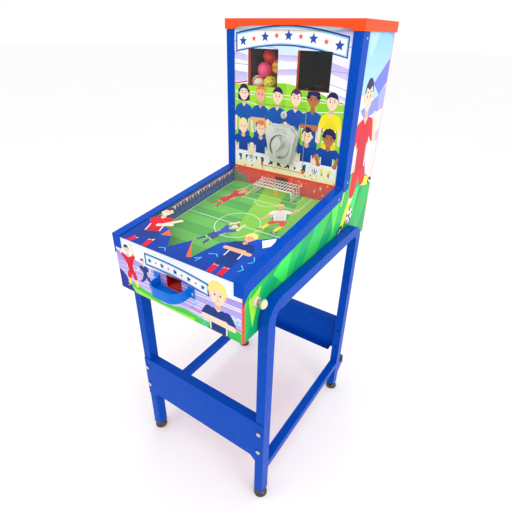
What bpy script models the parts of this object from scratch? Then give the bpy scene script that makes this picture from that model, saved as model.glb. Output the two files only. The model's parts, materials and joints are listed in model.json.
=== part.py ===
"""Coin-operated football pinball on a steel stand, built piece by piece in metres with +Z up.

Every piece is placed from the front face of the cabinet (y = 0, +Y to the rear) and from the
centre plane (x = 0). The empty "machine_datum" then moves the whole machine, so that the origin
is under the centre of its bounding box, on the floor.
"""

import math

import bmesh
import bpy
from mathutils import Matrix, Vector

# ---- overall sizes -------------------------------------------------------------------------
BODY_WIDTH = 0.4154          # over the cabinet's side panels
CABINET_DEPTH = 0.745        # front face to the rear edge of the side panels
BACKBOX_FRONT = 0.4953       # front of the backbox posts, behind the front face
CABINET_BOTTOM = 0.672
RIM_FRONT_HEIGHT = 0.838     # top of the rim at the front face
TOTAL_HEIGHT = 1.330
FIELD_SLOPE = math.radians(7.5)

# ---- sheet, gaps and trims -----------------------------------------------------------------
GAP = 0.0003                 # between pieces that touch
SHEET = 0.002
TUCK = 0.0001                # step between the faces of welded sheets
TRIM_FACE = 0.027            # width of the trims' front and top faces
RIM_SIDE_DROP = 0.034        # side flange of the rim trims
RIM_NOSE_DROP = 0.058        # its depth at the front
RIM_NOSE_LENGTH = 0.032
RIM_FRONT_DROP = 0.038       # front flange of the rim trims
POST_SIDE_DEPTH = 0.043

# ---- stand ---------------------------------------------------------------------------------
TUBE_WIDTH = 0.028           # across the machine
TUBE_DEPTH = 0.034           # in the plane of the side frame
TUBE_WALL = 0.002
FRAME_CLEARANCE = 0.0028     # cabinet side to side frame
FRONT_LEG_Y = 0.057          # front of the front legs
REAR_LEG_Y = 0.599           # front of the rear legs
FRAME_TOP = 0.755
FRAME_BEND = 0.060           # outer radius of the frame's bends
LEG_BOTTOM = 0.024
RAIL_SIZE = 0.028
RAIL_BOTTOM = 0.120
STRETCHER_BOTTOM = 0.190
STRETCHER_TOP = 0.345
STRETCHER_FLANGE = 0.030
STRETCHER_EAR = 0.014        # how far the bolted ends reach below the middle
BOLT_HEIGHTS = (0.228, 0.307)
BOLT_RADIUS = 0.004
FOOT_RADIUS = 0.021
FOOT_HEIGHT = 0.016
FOOT_STEM_RADIUS = 0.008
WHEEL_RADIUS = 0.024
WHEEL_WIDTH = 0.018
WHEEL_Y = 0.668
WHEEL_HEIGHT = 0.104
AXLE_RADIUS = 0.004

# ---- playfield -----------------------------------------------------------------------------
FIELD_DEPTH = 0.052          # playfield below the rim, square to the slope
FIELD_SHEET = 0.003
FIELD_HALF = 0.1885          # outside of the playfield pan
COVER_SHEET = 0.003
DRAIN_HALF = 0.0265
DRAIN_LENGTH = 0.044
GOAL_HALF = 0.071
GOAL_HEIGHT = 0.035
GOAL_DEPTH = 0.050
GOAL_TUBE = 0.0028
ENTRY_HALF = 0.0235          # ball entry in the rear wall

# ---- flippers and their buttons ------------------------------------------------------------
BUTTON_Y = 0.047
BUTTON_HEIGHT = 0.768
BUTTON_TRAVEL = 0.011
BUTTON_HEAD_RADIUS = 0.012
COLLAR_RADIUS = 0.0105
COLLAR_LENGTH = 0.008
ROD_RADIUS = 0.004
ROD_END_X = 0.0755
FLIPPER_X = 0.070
FLIPPER_Y = 0.066
FLIPPER_LENGTH = 0.042
FLIPPER_SHAFT = 0.004
FLIPPER_REST = math.radians(25)
CRANK_LENGTH = 0.014

# ---- ball outlet and tray ------------------------------------------------------------------
OUTLET_HALF = 0.025
OUTLET_BOTTOM = 0.7405
OUTLET_TOP = 0.777
TRAY_HALF = 0.0495
TRAY_REACH = 0.048
TRAY_BOTTOM = 0.738
TRAY_TOP = 0.766
TRAY_CORNER = 0.030
TRAY_EAR = 0.067

# ---- backbox -------------------------------------------------------------------------------
CAP_OVERHANG = 0.0035        # cap beyond the posts, each way
CAP_DROP = 0.027
CAP_ARCH = 0.011             # how much the front edge rises in the middle
PANE_SHEET = 0.003
PANE_GAP = 0.010             # pane to the red panel
WINDOW_INNER = 0.031
WINDOW_OUTER = 0.133
WINDOW_BOTTOM = 1.157
WINDOW_TOP = 1.256
DOOR_HALF = 0.070
DOOR_BOTTOM = 0.927
DOOR_TOP = 1.108
DOOR_KNUCKLE = 0.0032
DOOR_PIN = 0.0016
LOCK_HEIGHT = 1.086
LOCK_RADIUS = 0.011
MECH_FRONT = 0.022           # coin mechanism in front of the door
HANDLE_HEIGHT = 0.997
HANDLE_RADIUS = 0.034
SHAFT_RADIUS = 0.0055
SHELF_HEIGHT = 1.140
HOPPER_TOP = 1.285
BALL_RADIUS = 0.021
WHEEL_TOP = 1.048            # dispensing wheel
WHEEL_THICKNESS = 0.015
WHEEL_AXIS_Y = 0.625
DISPENSER_RADIUS = 0.090
POCKET_RING = 0.055
POCKET_RADIUS = 0.0235
POCKETS = 6
PEG_RING = 0.084
PEG_RADIUS = 0.003
PEG_LENGTH = 0.010
PEGS = 24
PINION_TEETH = 8
AXLE_PIN = 0.006

HALF = BODY_WIDTH / 2
INNER = HALF - SHEET
TRIM_HALF = HALF + GAP + SHEET
FRAME_INNER = HALF + FRAME_CLEARANCE
FRAME_OUTER = FRAME_INNER + TUBE_WIDTH
LEG_X = (FRAME_INNER + FRAME_OUTER) / 2
REAR_LEG_BACK = REAR_LEG_Y + TUBE_DEPTH
CAP_HALF = TRIM_HALF + CAP_OVERHANG
CAP_FRONT = BACKBOX_FRONT - CAP_OVERHANG
CAP_BACK = CABINET_DEPTH + GAP + SHEET + GAP + SHEET
POST_TOP = TOTAL_HEIGHT - CAP_DROP - 0.001
SIDE_TOP = TOTAL_HEIGHT - SHEET - GAP
PANE_FRONT = BACKBOX_FRONT + SHEET + GAP
PANEL_FRONT = PANE_FRONT + PANE_GAP
PANEL_BACK = PANEL_FRONT + SHEET
FIELD_FRONT = SHEET + GAP
FIELD_BACK = PANE_FRONT - GAP
PITCH = math.tan(FIELD_SLOPE)
DATUM_Y = -(CAP_BACK - TRAY_REACH) / 2

SIDES = (("left", -1), ("right", 1))
PLANES = {
    "XY": Matrix.Identity(4),
    "YZ": Matrix(((0, 0, 1, 0), (1, 0, 0, 0), (0, 1, 0, 0), (0, 0, 0, 1))),
    "XZ": Matrix(((1, 0, 0, 0), (0, 0, -1, 0), (0, 1, 0, 0), (0, 0, 0, 1))),
}
MANIFOLD_PIECES = ("coin_mechanism", "dispensing_wheel")  # many faces meet: the exact solver leaves gaps
THICKNESS_AXIS = {"XY": (0, 0, 1), "YZ": (1, 0, 0), "XZ": (0, 1, 0)}


# ---- scene, materials and helpers ----------------------------------------------------------
for old in list(bpy.data.objects):
    bpy.data.objects.remove(old)

parts = bpy.data.collections.new("football_pinball")
cutters = bpy.data.collections.new("cutters")
bpy.context.scene.collection.children.link(parts)
bpy.context.scene.collection.children.link(cutters)
cutters.hide_render = True

datum = bpy.data.objects.new("machine_datum", None)
datum.location = (0, DATUM_Y, 0)
parts.objects.link(datum)


def finish(name, colour, roughness, metallic=0.0, alpha=1.0):
    made = bpy.data.materials.new(name)
    made.use_nodes = True
    shader = made.node_tree.nodes["Principled BSDF"]
    shader.inputs["Base Color"].default_value = (*colour, 1)
    shader.inputs["Roughness"].default_value = roughness
    shader.inputs["Metallic"].default_value = metallic
    shader.inputs["Alpha"].default_value = alpha
    return made


BLUE_STEEL = finish("blue_gloss_steel", (0.002, 0.07, 0.60), 0.25)
RED_STEEL = finish("red_gloss_steel", (0.85, 0.04, 0.02), 0.3)
PRINTED = finish("printed_panel", (0.02, 0.55, 0.20), 0.3)
FIELD_PRINT = finish("field_print", (0.05, 0.45, 0.08), 0.35)
CLEAR = finish("clear_acrylic", (0.9, 0.95, 0.95), 0.05, 0.0, 0.25)
ZINC = finish("zinc_casting", (0.72, 0.72, 0.70), 0.35, 1.0)
BRIGHT_ZINC = finish("zinc_fastener", (0.78, 0.78, 0.76), 0.3, 1.0)
DARK_CHROME = finish("dark_glide", (0.08, 0.07, 0.05), 0.25, 0.9)
BLACK_RUBBER = finish("black_rubber", (0.02, 0.02, 0.02), 0.7)
CREAM_PLASTIC = finish("cream_plastic", (0.80, 0.72, 0.52), 0.35)
TRAY_PLASTIC = finish("tray_plastic", (0.0, 0.19, 0.75), 0.3)
RED_PLASTIC = finish("red_plastic", (0.50, 0.01, 0.01), 0.35)
WHITE_WIRE = finish("white_wire", (0.85, 0.85, 0.85), 0.35)
YELLOW_PLASTIC = finish("yellow_plastic", (0.90, 0.70, 0.03), 0.4)
SPRING_STEEL = finish("spring_steel", (0.60, 0.60, 0.60), 0.3, 1.0)
BALL_COLOURS = ((0.85, 0.12, 0.30), (0.90, 0.28, 0.02), (0.90, 0.80, 0.05))


def add_object(name, mesh, material, group=parts):
    made = bpy.data.objects.new(name, mesh)
    group.objects.link(made)
    made.parent = datum
    if material:
        mesh.materials.clear()
        mesh.materials.append(material)
    if group is cutters:
        made.hide_render = True
        made.display_type = "WIRE"
    return made


def set_origin(piece, point):
    """Puts the piece's origin on its joint axis, with the mesh staying in its place."""
    piece.data.transform(Matrix.Translation(-Vector(point)))
    piece.location = point
    return piece


def smooth(piece):
    piece.data.shade_smooth()
    piece.data.set_sharp_from_angle(angle=math.radians(40))
    return piece


def box(name, low, high, material=None, group=parts):
    mesh = bpy.data.meshes.new(name)
    shape = bmesh.new()
    bmesh.ops.create_cube(shape, size=1)
    size = [top - bottom for bottom, top in zip(low, high)]
    centre = [(top + bottom) / 2 for bottom, top in zip(low, high)]
    bmesh.ops.scale(shape, vec=size, verts=shape.verts)
    bmesh.ops.translate(shape, vec=centre, verts=shape.verts)
    shape.to_mesh(mesh)
    shape.free()
    return add_object(name, mesh, material, group)


def cylinder(name, start, end, radius, material=None, group=parts, sides=24, end_radius=None):
    start, end = Vector(start), Vector(end)
    mesh = bpy.data.meshes.new(name)
    shape = bmesh.new()
    bmesh.ops.create_cone(
        shape, cap_ends=True, segments=sides, radius1=radius,
        radius2=radius if end_radius is None else end_radius, depth=(end - start).length)
    turn = (end - start).to_track_quat("Z", "Y").to_matrix().to_4x4()
    bmesh.ops.transform(shape, matrix=Matrix.Translation((start + end) / 2) @ turn, verts=shape.verts)
    shape.to_mesh(mesh)
    shape.free()
    return smooth(add_object(name, mesh, material, group))


def turned(name, profile, base, axis, material=None, group=parts, sides=20):
    """A closed turned body. The profile's (radius, height) points run down its outer side."""
    mesh = bpy.data.meshes.new(name)
    mesh.from_pydata([(radius, 0, height) for radius, height in profile], [
        (index, index + 1) for index in range(len(profile) - 1)], [])
    made = add_object(name, mesh, material, group)
    spin = made.modifiers.new("turning", "SCREW")
    spin.steps = sides
    spin.render_steps = sides
    spin.use_merge_vertices = True
    spin.merge_threshold = 0.00001
    made.matrix_local = Matrix.Translation(base) @ Vector(axis).to_track_quat("Z", "Y").to_matrix().to_4x4()
    return made


def as_mesh(guide, name, material, group):
    """Turns an evaluated curve into a welded mesh in the machine's own coordinates."""
    bpy.context.view_layer.update()
    graph = bpy.context.evaluated_depsgraph_get()
    mesh = bpy.data.meshes.new_from_object(guide.evaluated_get(graph))
    mesh.transform(guide.matrix_local)
    shape = bmesh.new()
    shape.from_mesh(mesh)
    bmesh.ops.remove_doubles(shape, verts=shape.verts, dist=0.000001)
    bmesh.ops.recalc_face_normals(shape, faces=shape.faces)
    shape.to_mesh(mesh)
    shape.free()
    curve = guide.data
    bpy.data.objects.remove(guide)
    bpy.data.curves.remove(curve)
    return add_object(name, mesh, material, group)


def plate(name, outlines, plane, low, high, material=None, group=parts):
    """A flat outline, with any holes as further outlines, from low to high across its plane."""
    curve = bpy.data.curves.new(name + "_outline", "CURVE")
    curve.dimensions = "2D"
    curve.fill_mode = "BOTH"
    curve.extrude = (high - low) / 2
    for outline in outlines:
        spline = curve.splines.new("POLY")
        spline.points.add(len(outline) - 1)
        for point, (u, v) in zip(spline.points, outline):
            point.co = (u, v, 0, 1)
        spline.use_cyclic_u = True
    guide = bpy.data.objects.new(name + "_outline", curve)
    parts.objects.link(guide)
    middle = Vector(THICKNESS_AXIS[plane]) * (low + high) / 2
    guide.matrix_local = Matrix.Translation(middle) @ PLANES[plane]
    return as_mesh(guide, name, material, group)


def rod(name, points, radius, material=None, group=parts, resolution=2):
    """A round bar or wire along a list of points, with filled ends."""
    curve = bpy.data.curves.new(name + "_path", "CURVE")
    curve.dimensions = "3D"
    curve.bevel_depth = radius
    curve.bevel_resolution = resolution
    curve.use_fill_caps = True
    spline = curve.splines.new("POLY")
    spline.points.add(len(points) - 1)
    for point, place in zip(spline.points, points):
        point.co = (*place, 1)
    guide = bpy.data.objects.new(name + "_path", curve)
    parts.objects.link(guide)
    return smooth(as_mesh(guide, name, material, group))


def combine(piece, other, operation):
    change = piece.modifiers.new(other.name, "BOOLEAN")
    change.operation = operation
    change.object = other
    change.solver = "MANIFOLD" if piece.name in MANIFOLD_PIECES else "EXACT"
    return piece


def cut(piece, cutter):
    return combine(piece, cutter, "DIFFERENCE")


def weld(piece, addition):
    return combine(piece, addition, "UNION")


def arc(centre, radius, start, end, count=8):
    """Points of an arc, with its angles in degrees."""
    turns = [math.radians(start + (end - start) * step / count) for step in range(count + 1)]
    return [(centre[0] + radius * math.cos(t), centre[1] + radius * math.sin(t)) for t in turns]


def circle(centre, radius, count=24):
    return arc(centre, radius, 0, 360, count)[:-1]


def rectangle(u0, v0, u1, v1):
    return [(u0, v0), (u1, v0), (u1, v1), (u0, v1)]


def mirrored(outline):
    """The right half of an outline, from top to bottom, and its mirror image."""
    return outline + [(-u, v) for u, v in reversed(outline) if abs(u) > 1e-6]


def rim_height(y):
    return RIM_FRONT_HEIGHT + y * PITCH


def on_field(x, along, above):
    """A point given on the sloping playfield: across it, up it from the front, and above it."""
    base = RIM_FRONT_HEIGHT - FIELD_DEPTH / math.cos(FIELD_SLOPE)
    return Vector((
        x,
        along * math.cos(FIELD_SLOPE) - above * math.sin(FIELD_SLOPE),
        base + along * math.sin(FIELD_SLOPE) + above * math.cos(FIELD_SLOPE)))


PANE_BOTTOM = rim_height(BACKBOX_FRONT) + 0.003


def field_normal():
    return Vector((0, -math.sin(FIELD_SLOPE), math.cos(FIELD_SLOPE)))


# ---- stand ---------------------------------------------------------------------------------
def frame_outline(inset):
    """Outline of the inverted U. The inset is zero outside and one wall inside."""
    front, back = FRONT_LEG_Y + inset, REAR_LEG_BACK - inset
    top, bend = FRAME_TOP - inset, FRAME_BEND - inset
    inner_front, inner_back = FRONT_LEG_Y + TUBE_DEPTH - inset, REAR_LEG_Y + inset
    inner_top, inner_bend = FRAME_TOP - TUBE_DEPTH + inset, FRAME_BEND - TUBE_DEPTH + inset
    bottom = LEG_BOTTOM - (0.01 if inset else 0)
    outside = arc((front + bend, top - bend), bend, 180, 90) + arc((back - bend, top - bend), bend, 90, 0)
    inside = (arc((inner_back - inner_bend, inner_top - inner_bend), inner_bend, 0, 90)
              + arc((inner_front + inner_bend, inner_top - inner_bend), inner_bend, 90, 180))
    return ([(front, bottom)] + outside + [(back, bottom), (inner_back, bottom)]
            + inside + [(inner_front, bottom)])


def make_side_frame(side, sign):
    low, high = sorted((sign * FRAME_INNER, sign * FRAME_OUTER))
    frame = plate(f"side_frame_{side}", [frame_outline(0)], "YZ", low, high, BLUE_STEEL)
    hollow = plate(f"side_frame_{side}_hollow", [frame_outline(TUBE_WALL)], "YZ",
                   low + TUBE_WALL, high - TUBE_WALL, None, cutters)
    cut(frame, hollow)
    rail = box(f"side_rail_{side}", (low, FRONT_LEG_Y + TUBE_DEPTH + GAP, RAIL_BOTTOM),
               (high, REAR_LEG_Y - GAP, RAIL_BOTTOM + RAIL_SIZE), BLUE_STEEL)
    core = box(f"side_rail_{side}_core", (low + TUBE_WALL, FRONT_LEG_Y, RAIL_BOTTOM + TUBE_WALL),
               (high - TUBE_WALL, REAR_LEG_BACK, RAIL_BOTTOM + RAIL_SIZE - TUBE_WALL), None, cutters)
    cut(rail, core)
    for end, leg_y in (("front", FRONT_LEG_Y), ("rear", REAR_LEG_Y)):
        for number, height in enumerate(BOLT_HEIGHTS):
            hole = cylinder(f"frame_{side}_{end}_hole_{number}",
                            (sign * LEG_X, leg_y - 0.01, height),
                            (sign * LEG_X, leg_y + TUBE_DEPTH + 0.01, height),
                            BOLT_RADIUS + GAP, None, cutters, 16)
            cut(frame, hole)


def make_stretcher(name, outer_y, inward):
    """A folded plate over the legs' outer faces, with its flanges turned in between them."""
    outer_half = FRAME_OUTER - 0.0005
    inner_half = FRAME_INNER - 0.0005
    chamfer = inner_half - STRETCHER_EAR
    front, back = sorted((outer_y, outer_y - inward * SHEET))
    outline = mirrored([
        (0, STRETCHER_TOP), (outer_half, STRETCHER_TOP),
        (outer_half, STRETCHER_BOTTOM - STRETCHER_EAR),
        (inner_half - 0.001, STRETCHER_BOTTOM - STRETCHER_EAR),
        (chamfer - 0.001, STRETCHER_BOTTOM), (0, STRETCHER_BOTTOM)])
    holes = [circle((sign * LEG_X, height), BOLT_RADIUS + GAP, 16)
             for sign in (-1, 1) for height in BOLT_HEIGHTS]
    face = plate(name, [outline] + holes, "XZ", front, back, BLUE_STEEL)
    reach = outer_y + inward * (STRETCHER_FLANGE - SHEET)
    flange_low, flange_high = sorted((outer_y - inward * SHEET / 2, reach))
    for level, bottom in (("top", STRETCHER_TOP - SHEET), ("bottom", STRETCHER_BOTTOM)):
        half = inner_half if level == "top" else chamfer - 0.003
        weld(face, box(f"{name}_{level}_flange", (-half, flange_low, bottom),
                       (half, flange_high, bottom + SHEET), None, cutters))
    return face


def make_stretcher_bolts():
    """Hexagon bolts through the front stretcher and both walls of the front legs."""
    face = FRONT_LEG_Y - GAP - SHEET
    back = FRONT_LEG_Y + TUBE_DEPTH + GAP
    for side, sign in SIDES:
        for level, height in zip(("lower", "upper"), BOLT_HEIGHTS):
            bolt = cylinder(f"stretcher_bolt_{side}_{level}",
                            (sign * LEG_X, face - GAP - 0.005, height),
                            (sign * LEG_X, face - GAP, height), 0.0075, BRIGHT_ZINC, parts, 6)
            shank = cylinder(bolt.name + "_shank", (sign * LEG_X, face - 0.004, height),
                             (sign * LEG_X, back + 0.009, height), BOLT_RADIUS, None, cutters, 16)
            nut = cylinder(bolt.name + "_nut", (sign * LEG_X, back, height),
                           (sign * LEG_X, back + 0.006, height), 0.0072, None, cutters, 6)
            weld(weld(bolt, shank), nut)


def make_foot(name, x, y):
    """A domed glide whose plug fills the leg's open end."""
    plug_height = LEG_BOTTOM + 0.022
    profile = [(0, FOOT_HEIGHT + 0.004), (FOOT_STEM_RADIUS, FOOT_HEIGHT + 0.004)]
    profile += [(FOOT_STEM_RADIUS, FOOT_HEIGHT), (FOOT_RADIUS * 0.72, FOOT_HEIGHT - 0.002),
                (FOOT_RADIUS * 0.93, FOOT_HEIGHT - 0.006), (FOOT_RADIUS, 0.005),
                (FOOT_RADIUS, 0.0015), (FOOT_RADIUS - 0.0015, 0), (0, 0)]
    foot = turned(name, profile, (x, y, 0), (0, 0, 1), DARK_CHROME)
    half_x = TUBE_WIDTH / 2 - TUBE_WALL - GAP
    half_y = TUBE_DEPTH / 2 - TUBE_WALL - GAP
    flange = box(name + "_flange", (x - TUBE_WIDTH / 2, y - TUBE_DEPTH / 2, FOOT_HEIGHT + 0.003),
                 (x + TUBE_WIDTH / 2, y + TUBE_DEPTH / 2, LEG_BOTTOM - GAP), None, cutters)
    plug = box(name + "_plug", (x - half_x, y - half_y, LEG_BOTTOM - 0.003),
               (x + half_x, y + half_y, plug_height), None, cutters)
    weld(weld(foot, flange), plug)


def make_tilt_wheel(side, sign):
    """The wheel behind each rear leg, clear of the floor until the machine is tilted back."""
    x = sign * LEG_X
    start = REAR_LEG_BACK + GAP
    outline = [(start, 0.056), (start, 0.112), (WHEEL_Y - 0.012, WHEEL_HEIGHT + 0.010)]
    outline += arc((WHEEL_Y, WHEEL_HEIGHT), 0.011, 140, -60, 8)
    reach = (0.5 * WHEEL_WIDTH + 0.0008, 0.5 * WHEEL_WIDTH + 0.0033)
    bracket = plate(f"wheel_bracket_{side}", [outline, circle((WHEEL_Y, WHEEL_HEIGHT),
                    AXLE_RADIUS + GAP, 16)], "YZ", x + reach[0], x + reach[1], BLUE_STEEL)
    weld(bracket, plate(f"wheel_bracket_{side}_cheek", [outline, circle((WHEEL_Y, WHEEL_HEIGHT),
         AXLE_RADIUS + GAP, 16)], "YZ", x - reach[1], x - reach[0], None, cutters))
    weld(bracket, box(f"wheel_bracket_{side}_web", (x - reach[1], start, 0.056),
                      (x + reach[1], start + 0.0025, 0.112), None, cutters))
    centre = Vector((x, WHEEL_Y, WHEEL_HEIGHT))
    half = WHEEL_WIDTH / 2
    bore = AXLE_RADIUS + GAP
    profile = [(bore, half), (0.010, half), (0.011, half - 0.003), (WHEEL_RADIUS - 0.006, half - 0.003),
               (WHEEL_RADIUS - 0.003, half), (WHEEL_RADIUS, half - 0.003), (WHEEL_RADIUS, -half + 0.003),
               (WHEEL_RADIUS - 0.003, -half), (WHEEL_RADIUS - 0.006, -half + 0.003),
               (0.011, -half + 0.003), (0.010, -half), (bore, -half), (bore, half)]
    turned(f"wheel_{side}", profile, centre, (1, 0, 0), BLACK_RUBBER)
    end = reach[1] + GAP
    axle = cylinder(f"wheel_axle_{side}", centre - Vector((end + 0.004, 0, 0)),
                    centre + Vector((end + 0.002, 0, 0)), AXLE_RADIUS, BRIGHT_ZINC, parts, 16)
    for label, low, high in (("head", end, end + 0.004), ("nut", -end - 0.004, -end)):
        weld(axle, cylinder(f"{axle.name}_{label}", centre + Vector((low, 0, 0)),
                            centre + Vector((high, 0, 0)), 0.007, None, cutters, 6))


# ---- cabinet -------------------------------------------------------------------------------
def make_side_panel(side, sign):
    low, high = sorted((sign * INNER, sign * HALF))
    rim_under = SHEET / math.cos(FIELD_SLOPE) + GAP
    top_of_slope = [(GAP + SHEET, rim_height(GAP + SHEET) - rim_under),
                    (BACKBOX_FRONT + SHEET, rim_height(BACKBOX_FRONT + SHEET) - rim_under)]
    front = BACKBOX_FRONT + SHEET + GAP
    outline = [(SHEET + GAP, CABINET_BOTTOM), (CABINET_DEPTH, CABINET_BOTTOM), (CABINET_DEPTH, SIDE_TOP),
               (front, SIDE_TOP), (front, rim_height(front) - rim_under), top_of_slope[0]]
    hole = circle((BUTTON_Y, BUTTON_HEIGHT), ROD_RADIUS + GAP, 16)
    panel = plate(f"side_panel_{side}", [outline, hole], "YZ", low, high, PRINTED)
    spacer_height = FRAME_TOP - TUBE_DEPTH / 2
    for number, y in enumerate((FRONT_LEG_Y + FRAME_BEND + 0.03, REAR_LEG_BACK - FRAME_BEND - 0.03)):
        start = sign * (INNER + SHEET / 2)
        end = sign * (FRAME_INNER - GAP)
        weld(panel, cylinder(f"{panel.name}_spacer_{number}", (start, y, spacer_height),
                             (end, y, spacer_height), 0.009, None, cutters, 20))


def make_cabinet_shell():
    plate("front_panel",
          [rectangle(-HALF, CABINET_BOTTOM, HALF, RIM_FRONT_HEIGHT - SHEET - GAP - 0.0003),
           rectangle(-OUTLET_HALF, OUTLET_BOTTOM, OUTLET_HALF, OUTLET_TOP)],
          "XZ", 0, SHEET, PRINTED)
    box("bottom_panel", (-INNER + GAP, SHEET + GAP, CABINET_BOTTOM),
        (INNER - GAP, CABINET_DEPTH - GAP, CABINET_BOTTOM + SHEET), RED_STEEL)
    box("back_panel", (-HALF, CABINET_DEPTH + GAP, CABINET_BOTTOM),
        (HALF, CABINET_DEPTH + GAP + SHEET, SIDE_TOP), RED_STEEL)


def make_rim_trim(side, sign):
    """The sloping corner trim: a top face, a side flange with a curved nose, and a front flange."""
    inner, outer = TRIM_HALF - TRIM_FACE, TRIM_HALF
    rear = BACKBOX_FRONT - GAP
    drop = SHEET / math.cos(FIELD_SLOPE)
    front = -GAP - SHEET
    top = [(front, rim_height(front)), (rear, rim_height(rear)),
           (rear, rim_height(rear) - drop), (front, rim_height(front) - drop)]
    low, high = sorted((sign * inner, sign * outer))
    trim = plate(f"rim_trim_{side}", [top], "YZ", low, high, BLUE_STEEL)
    nose = RIM_NOSE_DROP - RIM_SIDE_DROP
    curve = []
    for step in range(9):
        share = step / 8
        y = front + RIM_NOSE_LENGTH * share
        curve.append((y, rim_height(y) - RIM_SIDE_DROP - nose * (1 - share) ** 2))
    flange = [(front, rim_height(front) - drop / 2)] + curve
    flange += [(rear, rim_height(rear) - RIM_SIDE_DROP), (rear, rim_height(rear) - drop / 2)]
    low, high = sorted((sign * (outer - SHEET), sign * outer))
    weld(trim, plate(f"{trim.name}_flange", [flange], "YZ", low, high, None, cutters))
    low, high = sorted((sign * inner, sign * (outer - SHEET / 2)))
    weld(trim, box(f"{trim.name}_front", (low, front + TUCK, RIM_FRONT_HEIGHT - RIM_FRONT_DROP),
                   (high, front + SHEET, rim_height(front) - drop / 2), None, cutters))


def make_post_trim(side, sign):
    inner, outer = TRIM_HALF - TRIM_FACE, TRIM_HALF
    bottom = rim_height(BACKBOX_FRONT) + GAP + 0.0005
    low, high = sorted((sign * inner, sign * outer))
    post = box(f"post_trim_{side}", (low, BACKBOX_FRONT, bottom),
               (high, BACKBOX_FRONT + SHEET, POST_TOP), BLUE_STEEL)
    low, high = sorted((sign * (outer - SHEET), sign * outer))
    y0, y1 = BACKBOX_FRONT + SHEET / 2, BACKBOX_FRONT + POST_SIDE_DEPTH
    slant = POST_SIDE_DEPTH * 0.35
    flange = [(y0, bottom), (BACKBOX_FRONT + 0.012, bottom - slant), (y1, bottom - slant + 0.004),
              (y1, POST_TOP), (y0, POST_TOP)]
    weld(post, plate(f"{post.name}_flange", [flange], "YZ", low, high, None, cutters))


# ---- playfield -----------------------------------------------------------------------------
def along_field(y, above):
    """Distance up the slope of a point at the given depth and height over the playfield."""
    return (y + above * math.sin(FIELD_SLOPE)) / math.cos(FIELD_SLOPE)


def field_length():
    return along_field(FIELD_BACK, -FIELD_SHEET)


def field_height(y):
    return rim_height(y) - FIELD_DEPTH / math.cos(FIELD_SLOPE)


def under_cover(y):
    return rim_height(y) - (SHEET + COVER_SHEET + 2 * GAP) / math.cos(FIELD_SLOPE)


def sloped_plate(name, outlines, above_low, above_high, material=None, group=parts):
    """A plate whose outlines are drawn on the sloping playfield."""
    made = plate(name, outlines, "XY", above_low, above_high, material, group)
    tilt = Matrix.Translation(on_field(0, 0, 0)) @ Matrix.Rotation(FIELD_SLOPE, 4, "X")
    made.data.transform(tilt)
    return made


def wall_outline(drop_top, thickness):
    """Side view of a strip under the cover, with upright ends."""
    return [(FIELD_FRONT, drop_top(FIELD_FRONT) - thickness), (FIELD_BACK, drop_top(FIELD_BACK) - thickness),
            (FIELD_BACK, drop_top(FIELD_BACK)), (FIELD_FRONT, drop_top(FIELD_FRONT))]


def make_playfield():
    """A folded pan: the playing surface, its two long walls with their ledges, and its front wall."""
    wall = FIELD_SHEET
    front = along_field(FIELD_FRONT + wall / 2, 0)
    drain = rectangle(-DRAIN_HALF, front + wall, DRAIN_HALF, front + DRAIN_LENGTH)
    shafts = [circle((sign * FLIPPER_X, FLIPPER_Y), FLIPPER_SHAFT + GAP, 16) for sign in (-1, 1)]
    field = sloped_plate("playfield", [rectangle(-FIELD_HALF, front, FIELD_HALF, field_length()), drain]
                         + shafts, -FIELD_SHEET, 0, FIELD_PRINT)
    height = under_cover(0) - field_height(0) + FIELD_SHEET / 2
    for side, sign in SIDES:
        low, high = sorted((sign * (FIELD_HALF - wall), sign * (FIELD_HALF + TUCK)))
        weld(field, plate(f"playfield_wall_{side}", [wall_outline(under_cover, height)], "YZ",
                          low, high, None, cutters))
        low, high = sorted((sign * (FIELD_HALF - wall / 2), sign * (INNER - GAP)))
        ledge = wall_outline(lambda y: under_cover(y) - TUCK, FIELD_SHEET)
        weld(field, plate(f"playfield_ledge_{side}", [ledge], "YZ", low, high, None, cutters))
    weld(field, box("playfield_wall_front", (-FIELD_HALF, FIELD_FRONT + TUCK, under_cover(0) - height + TUCK),
                    (FIELD_HALF, FIELD_FRONT + wall, under_cover(0) - 0.004), None, cutters))


def make_playfield_cover():
    bottom = FIELD_DEPTH - SHEET - GAP - COVER_SHEET
    half = INNER - GAP
    front = along_field(SHEET + GAP, bottom + COVER_SHEET)
    rear = along_field(FIELD_BACK, bottom)
    outline = rectangle(-half, front, half, rear)
    sloped_plate("playfield_cover", [outline], bottom, bottom + COVER_SHEET, CLEAR)


def make_rear_wall():
    """The red wall behind the goal, with the ball's way in."""
    floor = field_height(FIELD_BACK) - FIELD_SHEET
    half = INNER - GAP
    entry = rectangle(-ENTRY_HALF, floor + FIELD_SHEET + 0.0015, ENTRY_HALF, floor + FIELD_SHEET + 0.045)
    plate("playfield_rear_wall", [rectangle(-half, floor, half, PANE_BOTTOM - GAP), entry], "XZ",
          PANE_FRONT, PANE_FRONT + SHEET, RED_STEEL)


def make_goal():
    """White goal frame: side bars on the playfield, two posts and a crossbar."""
    rear = field_length() - 0.0035
    front = rear - GOAL_DEPTH
    low, high = GOAL_TUBE + GAP, GOAL_HEIGHT - GOAL_TUBE
    half = GOAL_HALF - GOAL_TUBE
    route = [(-half, rear, low), (-half, front, low), (-half, front, high),
             (half, front, high), (half, front, low), (half, rear, low)]
    rod("goal", [on_field(*point) for point in route], GOAL_TUBE, WHITE_WIRE)


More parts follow.
